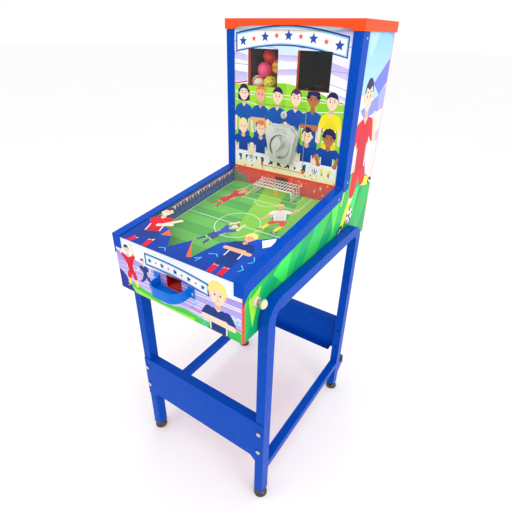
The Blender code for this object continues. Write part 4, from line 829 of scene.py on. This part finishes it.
backbox = {  # sheets and their openings: left, bottom, right, top
    "windows": [(-0.133, 1.157, -0.031, 1.256), (0.031, 1.157, 0.133, 1.256)],
    "door": (-0.0712, 0.9226, 0.0712, 1.1092), "casting": (-0.0300, 0.9700, 0.0300, 1.0240),
}
backboxArt = Print()
stadium(backboxArt)
teamRows(backboxArt)
drawBanner(backboxArt, -0.170, 0.168, 1.2885, 0.0215, 0.036, -0.004, 12)
paneSheet = sheetAround(-cabinet["postInner"], 0.9066, cabinet["postInner"], 1.3212,
                        backbox["windows"] + [backbox["door"]])
doorSheet = sheetAround(-0.0698, 0.9292, 0.0698, 1.1078, [backbox["casting"]])
layUpright("backboxPrint", backboxArt, "paneFront", paneSheet)
layUpright("coinDoorPrint", backboxArt, "doorFront", doorSheet, "coin_door")

shadeLinerArt = Print()  # a plain dark board behind the windows; its darkness is partly painted shade of the backbox's inside
# painted shade: the board is painted darker towards the bottom
shadeLinerArt.area(slab(-0.21, 0.90, 0.21, 1.33), "6a6050", 0, "554c3e")
layUpright("backboxShadeLiner", shadeLinerArt, "backInner", [slab(-0.2030, 1.1450, 0.2030, 1.3180)])


kits = {"red": (kitRed, kitRed, kitYellow), "allRed": (kitRed, kitRed, kitRed), "navy": (navy, navy, navy),
        "redNavy": (kitRed, navy, kitRed), "navyRed": (navy, navy, kitRed), "royal": (royal, navy, navy),
        "white": (ink("f2ede4"), ink("e24a34"), kitYellow)}
people = {"keeper": ("fair", "navy", "short"), "striker": ("fair", "navy", "swept"),
          "captain": ("fair", "blond", "curly"), "leftBack": ("fair", "plum", "swept"),
          "rightBack": ("tan", "blond", "curly"), "leftWing": ("tan", "ginger", "swept"),
          "rightWing": ("tan", "blond", "swept"), "middle": ("fair", "brown", "swept")}

frontArt = Print()  # front panel: stands behind a white band, two celebrating players and a big one
frontArt.areas([
    (slab(-0.21, 0.67, 0.21, 0.84), "f2f7fc", 0, "dfe4f8"),
    ([(-0.21, 0.792), (-0.09, 0.774), (0.02, 0.779), (0.21, 0.789), (0.21, 0.67), (-0.21, 0.67)], "a994e2", 1,
     "cbbdf2"),
])
for step, height in enumerate((0.768, 0.757, 0.744, 0.733, 0.720, 0.708, 0.697)):
    ends = (-0.20, height - 0.010), (0.20, height + 0.006 * math.sin(step * 2.1))
    frontArt.stripe(*ends, 0.0008, "eae3fc", 2, 0.0022)
frontArt.areas([
    ([(-0.165, 0.704), (-0.10, 0.697), (-0.045, 0.682), (0.028, 0.697), (0.115, 0.690), (0.115, 0.67),
      (-0.165, 0.67)], "58d64a", 3, "35c24a"),
    ([(-0.165, 0.690), (-0.06, 0.676), (0.06, 0.682), (0.06, 0.67), (-0.165, 0.67)], "9ae84a", 4),
    (capsule((0.05, 0.712), (0.100, 0.706), 0.0014, 0.0014, 3), "e8303c", 4),
    ([(0.150, 0.712), (0.2035, 0.702), (0.2035, 0.67), (0.150, 0.67)], "3fce56", 3, "27b84e"),
    (capsule((0.165, 0.714), (0.2035, 0.707), 0.0014, 0.0014, 3), "e8303c", 4),
    (slab(-0.21, 0.8336, 0.21, 0.84), "f4502c", 5),
    (slab(0.2042, 0.67, 0.21, 0.84), "f4502c", 5),
    ([(-0.21, 0.735), (-0.186, 0.722), (-0.150, 0.67), (-0.21, 0.67)], "1b2f9a", 5),
])
drawPlayer(frontArt, -0.096, 0.704, 0.088, "run", kits["navy"], people["keeper"], 4, 0.9, 0.15)
drawPlayer(frontArt, -0.150, 0.684, 0.128, "cheer", kits["red"], people["striker"], 10, 0.85, 0.12, 0.21)
drawPlayer(frontArt, 0.136, 0.484, 0.325, "crossed", kits["navy"], people["captain"], 10, 0.68, head=0.185,
           crouch=0.58)
for points in (((0.078, 0.748), (0.062, 0.737), (0.070, 0.730), (0.052, 0.716)),
               ((0.182, 0.742), (0.196, 0.731), (0.188, 0.725), (0.201, 0.712)),
               ((0.08, 0.696), (0.094, 0.688), (0.088, 0.682), (0.10, 0.674))):
    frontArt.line(points, 0.0016, "4fd0f4", 12, 0.0010)
drawBanner(frontArt, -0.090, 0.104, 0.8085, 0.0050, 0.0215, -0.014, 14)
frontSheet = sheetAround(-0.2074, 0.6723, 0.2074, 0.8352, [(-0.0255, 0.7402, 0.0255, 0.7773)])
layUpright("frontPanelPrint", frontArt, "frontFace", frontSheet)


sideArt = Print()  # cabinet sides: sky and stands above, a running player, cut-glass greens below
sideArt.areas([
    (slab(0, 0.67, 0.75, 1.33), "8fd0f8", 0, "ffffff"),
    ([(0.53, 1.155), (0.75, 1.115), (0.75, 0.67), (0, 0.67), (0, 0.86), (0.49, 0.93)], "f3efff", 1, "dcd4f8"),
    ([(0.742, 1.238), (0.629, 1.176), (0.690, 1.140), (0.748, 1.176)], "7680e8", 2),
    ([(0.742, 1.152), (0.553, 1.112), (0.590, 1.084), (0.748, 1.098)], "8f96ee", 2),
    ([(0.690, 1.140), (0.748, 1.165), (0.748, 1.098), (0.700, 1.098)], "a9aef4", 2),
    ([(0.553, 1.060), (0.640, 1.045), (0.600, 0.995), (0.548, 1.010)], "d4ccf8", 2),
    ([(0.748, 1.040), (0.690, 1.020), (0.700, 0.960), (0.748, 0.970)], "c7bdf4", 2),
    ([(0.548, 1.300), (0.600, 1.318), (0.640, 1.322), (0.570, 1.236)], "b6e2fb", 2),
    ([(0.640, 1.322), (0.748, 1.322), (0.748, 1.285)], "74c2f4", 2),
    ([(0, 0.67), (0.75, 0.67), (0.75, 0.868), (0.690, 0.892), (0.645, 0.912), (0.596, 0.938), (0.546, 0.962),
      (0.522, 0.935), (0.495, 0.915), (0, 0.84)], "10b45c", 3, "04a45c"),
])
bandEdges = (-0.02, 0.045, 0.105, 0.175, 0.255, 0.315, 0.400, 0.470, 0.560, 0.640, 0.75)
bandTints = ("44d034", "18c052", "04ac68", "20c85a", "08b264", "34cc4e", "06aa62", "22c65a", "04a45e",
             "1ac058")
for low, high, tint in zip(bandEdges, bandEdges[1:], bandTints):
    leaning = [(low - 0.11, 0.67), (high - 0.11, 0.67), (high + 0.115, 0.97), (low + 0.115, 0.97)]
    sideArt.area(leaning, tint, 4)
sideArt.areas([
    ([(0, 0.97), (0.495, 0.97), (0.495, 0.915), (0, 0.85)], "2ae366", 5),
    ([(0.47, 0.905), (0.545, 0.965), (0.548, 1.0), (0.49, 1.0)], "f1ecff", 6),
    ([(0.546, 0.9625), (0.75, 0.8685), (0.75, 1.0), (0.546, 1.0)], "eee9ff", 6, "e2dbfb"),
    ([(0.560, 0.955), (0.640, 0.915), (0.586, 0.880)], "08b860", 7),
    ([(0.660, 0.905), (0.735, 0.872), (0.700, 0.800)], "0cc56a", 7),
    ([(0.560, 0.860), (0.640, 0.880), (0.610, 0.780)], "3ae86a", 7),
    ([(0.320, 0.880), (0.400, 0.890), (0.330, 0.780)], "18d070", 7),
    ([(0.120, 0.800), (0.220, 0.860), (0.180, 0.740)], "3ce75c", 7),
    ([(0.02, 0.78), (0.07, 0.80), (0.035, 0.70)], "a6ee3c", 7),
    ([(0.430, 0.880), (0.500, 0.900), (0.460, 0.760)], "5aea52", 7),
    (slab(0, 0.67, 0.0055, 0.84), "f4502c", 8),
])
for points in (((0.500, 0.850), (0.520, 0.905), (0.512, 0.925), (0.528, 1.00)),
               ((0.715, 0.900), (0.700, 0.935), (0.716, 0.945), (0.705, 0.985)),
               ((0.560, 1.065), (0.552, 1.040), (0.566, 1.030), (0.556, 1.000)),
               ((0.700, 1.060), (0.712, 1.030), (0.700, 1.020), (0.716, 0.985))):
    sideArt.line(points, 0.0042, "f3ea3c", 8, 0.0028)
drawPlayer(sideArt, 0.612, 0.752, 0.425, "stride", kits["red"], people["striker"], 9, 0.84, 0.02, 0.205)
drawBall(sideArt, 0.580, 0.789, 0.024, 20)
sideEnds = (0.0024, 0.4955, 0.5388, 0.7440)  # front, where the post begins and ends, and the back
underTrim = [rimHeight(depth) - cabinet["trimDrop"] for depth in sideEnds]
sideRegions = [
    [(sideEnds[0], 0.6724), (sideEnds[1], 0.6724), (sideEnds[1], underTrim[1]), (sideEnds[0], underTrim[0])],
    slab(sideEnds[1], 0.6724, sideEnds[2], 0.9020),
    slab(sideEnds[2], 0.6724, sideEnds[3], 1.3250),
]
for side, sign in (("right", 1), ("left", -1)):
    origin = (sign * cabinet["halfWidth"], cabinet["frontFace"], 0)
    layPrint("sidePrint_" + side, "root", sideArt, origin, ((0, 1, 0), (0, 0, 1), (sign, 0, 0)), sideRegions,
             filmPrint)


coverArt = Print()  # the clear cover's printed front corner, with two players leaning in over the playfield
coverArt.areas([
    ([(-0.19, 0.118), (-0.088, 0.0935), (-0.064, 0.072), (-0.039, 0.032), (-0.003, 0.0845), (0.042, 0.027),
      (0.0645, 0.110), (0.190, 0.205), (0.19, 0), (-0.19, 0)], "0c56c8", 0, "0a3a9c"),
    ([(-0.0905, 0.094), (-0.064, 0.072), (-0.092, 0.064)], "f46a2e", 1),
    ([(-0.003, 0.0845), (0.042, 0.027), (0.030, 0.024)], "f46a2e", 1),
    ([(-0.19, 0.112), (-0.10, 0.060), (-0.02, 0.0), (-0.19, 0.0)], "0b3aa0", 1),
    ([(0.150, 0.166), (0.176, 0.192), (0.186, 0.160), (0.168, 0.140)], "f5f8fb", 2),
    ([(0.19, 0.13), (0.10, 0.0), (0.19, 0.0)], "0a48b4", 1),
])
for points in (((0.070, 0.060), (0.086, 0.068), (0.096, 0.060)),
               ((0.052, 0.030), (0.064, 0.040), (0.060, 0.022)),
               ((0.172, 0.100), (0.182, 0.084), (0.172, 0.074)),
               ((0.164, 0.060), (0.176, 0.050), (0.170, 0.038)),
               ((-0.055, 0.020), (-0.040, 0.026), (-0.030, 0.016))):
    coverArt.line(points, 0.0013, "58d4f6", 3, 0.0008)
drawPlayer(coverArt, -0.100, -0.010, 0.192, "reach", kits["redNavy"], people["leftBack"], 4, 0.95, 0.34, 0.22)
drawPlayer(coverArt, 0.128, -0.004, 0.180, "crossed", kits["navyRed"], people["rightBack"], 14, 0.95, 0.06)
coverArt.area(slab(-0.19, 0, 0.19, 0.0028), "f4502c", 26)
layPrint("coverPrint", "root", coverArt, onField(0, 0, cabinet["coverAbove"]), sloping,
         [slab(-0.1826, 0.0030, 0.1826, 0.24)], filmPrint)


fieldArt = Print()  # playfield: mown stripes, two lime streaks of painted reflection, white lines and three players
for step in range(12):
    low, high = 0.042 * step, 0.042 * (step + 1)
    fieldArt.area(slab(-0.19, low, 0.19, high), "66c24a" if step % 2 else "4eae42", 0)
    fieldArt.area(slab(-0.19, low, -0.182, high), "2f8f72", 1)
# painted reflection: two lime streaks across the field, brightest at the far end
fieldArt.area([(-0.06, 0.51), (0.02, 0.51), (0.10, 0.20), (0.02, 0.20)], "a2dc34", 1, "74c83e")
fieldArt.area([(0.08, 0.51), (0.19, 0.51), (0.19, 0.22), (0.13, 0.25)], "96d048", 1, "66c24a")
chalk = {"ink": "e6f6dc", "layer": 3, "width": 0.0020, "wide": 0.0022}


def chalkSlab(x0, y0, x1, y1):
    fieldArt.area(slab(x0, y0, x1, y1), chalk["ink"], chalk["layer"])


chalkSlab(-0.1835, 0.2618, 0.1835, 0.2642)
addRing(fieldArt, 0, 0.263, 0.066, chalk["wide"], chalk["ink"], chalk["layer"])
fieldArt.area(oval(0, 0.263, 0.0030, 0.0030, 12), chalk["ink"], chalk["layer"])
for x in (-0.1815, 0.1815):
    chalkSlab(x - chalk["wide"] / 2, 0.005, x + chalk["wide"] / 2, 0.50)
for half, depth in ((0.115, 0.410), (0.088, 0.446)):
    chalkSlab(-half, depth, half, depth + chalk["width"])
    chalkSlab(-half, depth, -half + chalk["width"], 0.50)
    chalkSlab(half - chalk["width"], depth, half, 0.50)
addRing(fieldArt, 0, 0.435, 0.048, chalk["width"], chalk["ink"], chalk["layer"], 211, 329, 16)
drawPlayer(fieldArt, -0.143, 0.324, 0.136, "dive", kits["allRed"], people["leftWing"], 4, 0.85, -0.30)
drawPlayer(fieldArt, 0.128, 0.276, 0.168, "kick", kits["white"], people["rightWing"], 4, 0.85, 0.50, 0.18)
drawPlayer(fieldArt, -0.044, 0.146, 0.126, "dive", kits["royal"], people["middle"], 4, 0.85, -0.40)
drawBall(fieldArt, 0.060, 0.352, 0.0085, 5)
fieldSheets = [  # the drain's opening lies between the first two
    slab(-0.1852, 0.0035, -0.0275, 0.048), slab(0.0275, 0.0035, 0.1852, 0.048),
    slab(-0.1852, 0.048, 0.1852, 0.5003),
]
layPrint("fieldPrint", "root", fieldArt, onField(0, 0, 0), sloping, fieldSheets, fieldPrint)


wallArt = Print()  # pan walls: dark stands with a string of pennants
pennants = {"count": 37, "pitch": 0.0133, "sag": 0.0018, "tints": ("f58a4a", "fff2e2", "f2603a", "f7c24a")}
wallArt.area(slab(0, 0, 0.51, 0.05), "17459c", 0, "0f3a7c")
for step in range(26):
    x = 0.012 + 0.019 * step
    wallArt.area(oval(x + 0.004 * math.sin(step * 5.0), 0.0085, 0.0085, 0.0075, 12), "1b4f8c", 1)
for step in range(pennants["count"]):
    x, dip = 0.010 + pennants["pitch"] * step, pennants["sag"] * math.sin(math.pi * (step % 6) / 6)
    flag = [(x - 0.0050, 0.0395 - dip), (x + 0.0050, 0.0395 - dip), (x + 0.0006, 0.0270 - dip)]
    wallArt.area(flag, pennants["tints"][step * 7 % 4], 3)
    wallArt.stripe((x - 0.0068, 0.0397 - dip), (x + 0.0068, 0.0397 - dip), 0.0005, "f7ecd8", 4)
for side, sign in (("left", -1), ("right", 1)):
    layPrint("panWallPrint_" + side, "root", wallArt, onField(sign * cabinet["panInner"], 0, 0),
             (*sloping[1:], (-sign, 0, 0)), [slab(0.0040, 0.0006, 0.4995, 0.0462)], fieldPrint)

goalWallArt = Print()  # the wall behind the goal: red with pale flecks
flecks = {"seed": 5, "count": 60, "tints": ("c92a1e", "ff7a50", "ffd9c0", "d8352a")}
goalWallArt.area(slab(-0.19, 0.84, 0.19, 0.91), "f04a2c", 0, "e23c26")
dice = random.Random(flecks["seed"])
for step in range(flecks["count"]):
    x, z = dice.uniform(-0.185, 0.185), dice.uniform(0.856, 0.902)
    size = dice.uniform(0.002, 0.0055)
    tint = dice.choice(flecks["tints"])
    if step % 3:
        goalWallArt.area(oval(x, z, size, size * 0.5, 10, dice.uniform(0, 3)), tint, 1)
    else:
        goalWallArt.area(starShape(x, z, size * 1.2, 0.5, x * 9), tint, 1)
goalWallArt.area([(-0.19, 0.890), (-0.150, 0.878), (-0.120, 0.856), (-0.19, 0.850)], "8f9a80", 1, "5c8a5a")
goalWallSheet = sheetAround(-0.1850, 0.8525, 0.1850, 0.9010, [(-0.0236, 0.8400, 0.0236, 0.8965)])
layUpright("goalWallPrint", goalWallArt, "paneFront", goalWallSheet)


def newTree(name, sizes):  # each size becomes a named input
    tree = bpy.data.node_groups.new(name, "GeometryNodeTree")
    tree.interface.new_socket("Geometry", in_out="INPUT", socket_type="NodeSocketGeometry")
    for label, value in sizes.items():
        kind = "NodeSocketInt" if isinstance(value, int) else "NodeSocketFloat"
        tree.interface.new_socket(label, in_out="INPUT", socket_type=kind).default_value = value
    tree.interface.new_socket("Geometry", in_out="OUTPUT", socket_type="NodeSocketGeometry")
    start = Wire(tree)
    return start, {label: start.node("NodeGroupInput", output=label) for label in ["Geometry", *sizes]}


def closeTree(start, geometry, material):
    solid = start.node("GeometryNodeRealizeInstances", None, {"Geometry": geometry})
    dressed = start.node("GeometryNodeSetMaterial", None, {"Geometry": solid, "Material": material})
    start.node("NodeGroupOutput", None, {"Geometry": dressed})
    return start.tree


def grown(name, mesh, tree, sizes, smooth):  # run a tree on a mesh and keep the result as a plain mesh
    piece = addObject(name, mesh)
    modifier = piece.modifiers.new("grow", "NODES")
    modifier.node_group = tree
    for item in tree.interface.items_tree:
        if item.in_out == "INPUT" and item.name in sizes:
            modifier[item.identifier] = sizes[item.name]
    result = bakeModifiers(piece)
    result.shade_smooth()
    result.set_sharp_from_angle(angle=math.radians(smooth))
    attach(piece, "root")
    print("grown", name, len(result.polygons), "faces")


goalNet = {"half": 0.0682, "front": 0.4477, "rear": 0.5045, "low": 0.0045, "high": 0.0322, "across": 13,
           "deep": 3, "up": 3, "footShort": 0.0040, "smooth": 60}
stringSizes = {"String radius": 0.0011, "Sides": 6}


def netMesh(name, sheets):  # a sheet is a corner, the next corners along both its sides and two cell counts
    points, edges = [], []
    for corner, side, top, across, up in sheets:
        base = len(points)
        for row in range(up + 1):
            for column in range(across + 1):
                points.append(corner + (side - corner) * (column / across) + (top - corner) * (row / up))
                here = base + row * (across + 1) + column
                if column < across:
                    edges.append((here, here + 1))
                if row < up:
                    edges.append((here, here + across + 1))
    mesh = bpy.data.meshes.new(name)
    mesh.from_pydata([tuple(point) for point in points], edges, [])
    return mesh


def netTree(name, sizes, material):
    start, given = newTree(name, sizes)
    lines = start.node("GeometryNodeMeshToCurve", None, {"Mesh": given["Geometry"]})
    ring = start.node("GeometryNodeCurvePrimitiveCircle", {"mode": "RADIUS"},
                      {"Resolution": given["Sides"], "Radius": given["String radius"]})
    strings = start.node("GeometryNodeCurveToMesh", None,
                         {"Curve": lines, "Profile Curve": ring, "Fill Caps": True})
    return closeTree(start, strings, material)


half, front, rear, low, high = (goalNet[key] for key in ("half", "front", "rear", "low", "high"))
netSheets = [(onField(-half, front, high), onField(half, front, high), onField(-half, rear, high),
              goalNet["across"], goalNet["deep"])]
for x in (-half, half):
    foot = onField(x, rear - goalNet["footShort"], low)
    netSheets.append((onField(x, front, low), foot, onField(x, front, high), goalNet["deep"], goalNet["up"]))
stringTree = netTree("netStrings", stringSizes, finishes["white_wire"])
grown("goalNet", netMesh("goalNet", netSheets), stringTree, stringSizes, goalNet["smooth"])


screws = {"segments": 20, "rings": 10, "slotLong": 1.15, "slotTall": 0.5, "slotLift": 0.52, "smooth": 35}
screwSizes = {"Head radius": 0.0034, "Crown": 0.55, "Slot": 0.26}
screwPlaces = [  # place and facing on the right half; the left half mirrors them
    ((0.2100, -0.3308, 0.789), (1, 0, 0)), ((0.2100, 0.1212, 0.878), (1, 0, 0)),
    ((0.2100, 0.1720, 0.915), (1, 0, 0)), ((0.2100, 0.1720, 1.288), (1, 0, 0)),
    ((0.0610, -0.3538, 0.7550), (0, -1, 0)),
    ((0.1900, 0.2843, 0.2280), (0, 1, 0)), ((0.1900, 0.2843, 0.3070), (0, 1, 0)),
    ((0.1980, 0.3964, 0.700), (0, 1, 0)), ((0.1980, 0.3964, 0.870), (0, 1, 0)),
    ((0.1980, 0.3964, 1.040), (0, 1, 0)), ((0.1980, 0.3964, 1.210), (0, 1, 0)),
]


def screwTree(name, sizes, material):  # a domed head with a cross slot on each point, turned to face outwards
    start, given = newTree(name, sizes)
    radius = given["Head radius"]
    ball = {"Segments": screws["segments"], "Rings": screws["rings"], "Radius": radius}
    flat = start.node("ShaderNodeCombineXYZ", None, {"X": 1.0, "Y": 1.0, "Z": given["Crown"]})
    head = start.node("GeometryNodeMeshUVSphere", None, ball)
    head = start.node("GeometryNodeTransform", None, {"Geometry": head, "Scale": flat})
    lift = start.node("ShaderNodeCombineXYZ", None, {"Z": radius * screws["slotLift"]})
    for long, wide in (("X", "Y"), ("Y", "X")):
        size = {long: radius * screws["slotLong"], wide: radius * given["Slot"],
                "Z": radius * screws["slotTall"]}
        size = start.node("ShaderNodeCombineXYZ", None, size)
        bar = start.node("GeometryNodeMeshCube", None, {"Size": size})
        bar = start.node("GeometryNodeTransform", None, {"Geometry": bar, "Translation": lift})
        head = start.node("GeometryNodeMeshBoolean", {"operation": "DIFFERENCE"}, {0: head, 1: bar})
    facing = start.node("GeometryNodeInputNamedAttribute", {"data_type": "FLOAT_VECTOR"}, {"Name": "facing"})
    turn = start.node("FunctionNodeAlignRotationToVector", {"axis": "Z"}, {"Vector": facing})
    points = start.node("GeometryNodeMeshToPoints", None, {"Mesh": given["Geometry"]})
    spread = start.node("GeometryNodeInstanceOnPoints", None,
                        {"Points": points, "Instance": head, "Rotation": turn})
    return closeTree(start, spread, material)


def mirroredPoints(name, places):
    spots = [((sign * x, y, z), (sign * u, v, w)) for sign in (-1, 1) for (x, y, z), (u, v, w) in places]
    mesh = bpy.data.meshes.new(name)
    mesh.from_pydata([place for place, facing in spots], [], [])
    layer = mesh.attributes.new("facing", "FLOAT_VECTOR", "POINT")
    layer.data.foreach_set("vector", np.array([facing for place, facing in spots], np.float32).ravel())
    return mesh


headTree = screwTree("screwHeads", screwSizes, finishes["fastener"])
headPoints = mirroredPoints("screwHeads", screwPlaces)
grown("screwHeads", headPoints, headTree, screwSizes, screws["smooth"])


balls = {"radius": 0.0209, "rings": 40, "segments": 64, "axis": (0.6, 0.7, 0.3)}
swirls = {  # whether a direction on the ball takes its second ink
    "plain": lambda d: False,
    "swirl": lambda d: math.sin(3 * math.atan2(d.y, d.x) + 7 * d.z) > 0.25,
    "band": lambda d: abs(d.z + 0.35 * math.sin(2 * math.atan2(d.y, d.x))) < 0.13,
    "spots": lambda d: math.sin(9 * d.x) * math.sin(9 * d.y + 1) * math.sin(9 * d.z + 2) > 0.30,
}
ballInks = {"pink": ink("ff4d84"), "rose": ink("ffa0bc"), "orange": ink("ff7a2e"), "yellow": ink("ffe21e"),
            "green": ink("6fc02e"), "cream": ink("f6ecd2"), "red": ink("ee2c24"), "silver": ink("c8ccd2"),
            "blue": ink("2f6fd8")}
binBalls = [  # centre, pattern, inks, turn and slot
    ((-0.1203, 0.2266, 1.1635), "plain", "red", "red", 0.4, "ball_pink"),
    ((-0.0775, 0.2266, 1.1635), "swirl", "orange", "cream", 1.9, "ball_orange"),
    ((-0.0990, 0.2266, 1.2004), "band", "pink", "rose", 2.6, "ball_pink"),
    ((-0.1203, 0.2700, 1.1635), "spots", "blue", "cream", 0.9, "ball_yellow"),
    ((-0.0424, 0.2052, 1.1713), "spots", "silver", "blue", 1.2, "ball_yellow"),
    ((-0.0633, 0.2052, 1.2081), "swirl", "orange", "yellow", 0.7, "ball_orange"),
    ((-0.0945, 0.2052, 1.2366), "plain", "red", "red", 0.2, "ball_pink"),
]
cadBallLooks = [("band", "cream", "red", 0.5), ("spots", "yellow", "green", 1.1),
                ("plain", "pink", "pink", 2.0)]


def bouncyBall(name, centre, pattern, first, second, turn, slot):
    mesh = bpy.data.meshes.new(name)
    shape = bmesh.new()
    bmesh.ops.create_uvsphere(shape, u_segments=balls["segments"], v_segments=balls["rings"],
                              radius=balls["radius"])
    shape.to_mesh(mesh)
    shape.free()
    tilt = Matrix.Rotation(turn, 3, Vector(balls["axis"]).normalized())
    inks = []
    for vertex in mesh.vertices:
        inks.append(ballInks[second if swirls[pattern](tilt @ vertex.co.normalized()) else first])
        vertex.co = vertex.co + Vector(centre)
    paintPoints(mesh, inks)
    mesh.materials.append(ballPrint)
    mesh.shade_smooth()
    piece = addObject(name, mesh)
    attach(piece, "root")
    return piece


for number, row in enumerate(binBalls):
    bouncyBall("binBall_%d" % (number + 1), *row)
cadBalls = sorted(name for name in nodes if name.startswith("bouncy_ball"))
for name, look in zip(cadBalls, cadBallLooks):
    low, high = (Vector(corner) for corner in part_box(name))
    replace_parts(bouncyBall(name + "_print", (low + high) / 2, *look, slotOf[name]), name)
print("balls made:", len(binBalls) + len(cadBalls))


studio = {  # metres, watts and degrees; a lamp is its place, size and power
    "world": 1.0, "floorHalf": 40.0,
    "lamps": [((2.8, -0.4, 2.0), 1.8, 22), ((-1.6, -2.6, 2.0), 2.0, 6), ((0.2, -0.4, 3.2), 2.2, 14)],
    "target": (0, 0, 0.75), "cameraPlace": (0.60710, -0.90965, 1.29630),
    "yaw": 33.478, "pitch": 29.559, "roll": 1.183, "lens": 27.74, "sensor": 36,
}


def floorFinish(start, tint, shade):
    values = {"Base Color": cloud(start, 1.5, 2.0).mix(tint, shade), "Roughness": 0.8,
              "Specular IOR Level": 0.1}
    return start.node("ShaderNodeBsdfPrincipled", None, values)


floorMesh = bpy.data.meshes.new("floor")
floorCorners = [(x, y, 0) for x, y in slab(*[sign * studio["floorHalf"] for sign in (-1, -1, 1, 1)])]
floorMesh.from_pydata(floorCorners, [], [(0, 1, 2, 3)])
floorMesh.materials.append(newFinish("paleFloor", floorFinish, "fefefe", "fbfbfb"))
addObject("floor", floorMesh)

world = bpy.data.worlds.new("studio")
world.use_nodes = True
world.node_tree.nodes["Background"].inputs["Color"].default_value = (1, 1, 1, 1)
world.node_tree.nodes["Background"].inputs["Strength"].default_value = studio["world"]
bpy.context.scene.world = world
bpy.context.scene.view_settings.view_transform = "Standard"

for number, (spot, size, power) in enumerate(studio["lamps"]):
    light = bpy.data.lights.new("softbox_" + str(number), "AREA")
    light.shape = "SQUARE"
    light.size = size
    light.energy = power
    lamp = addObject(light.name, light)
    lamp.location = spot
    lamp.rotation_euler = (Vector(studio["target"]) - Vector(spot)).to_track_quat("-Z", "Y").to_euler()
print("studio lit:", len(studio["lamps"]), "lamps")

yaw, pitch, roll = (math.radians(studio[key]) for key in ("yaw", "pitch", "roll"))
back = Vector((math.sin(yaw) * math.cos(pitch), -math.cos(yaw) * math.cos(pitch), math.sin(pitch)))
level = (-back).cross(Vector((0, 0, 1))).normalized()
tall = level.cross(-back).normalized()
aside = level * math.cos(roll) + tall * math.sin(roll)
upward = tall * math.cos(roll) - level * math.sin(roll)
cameraData = bpy.data.cameras.new("camera")
cameraData.lens = studio["lens"]
cameraData.sensor_width = studio["sensor"]
camera = addObject("camera", cameraData)
turned = Matrix((aside, upward, back)).transposed().to_4x4()
camera.matrix_world = Matrix.Translation(studio["cameraPlace"]) @ turned
bpy.context.scene.camera = camera

print("scene finished")
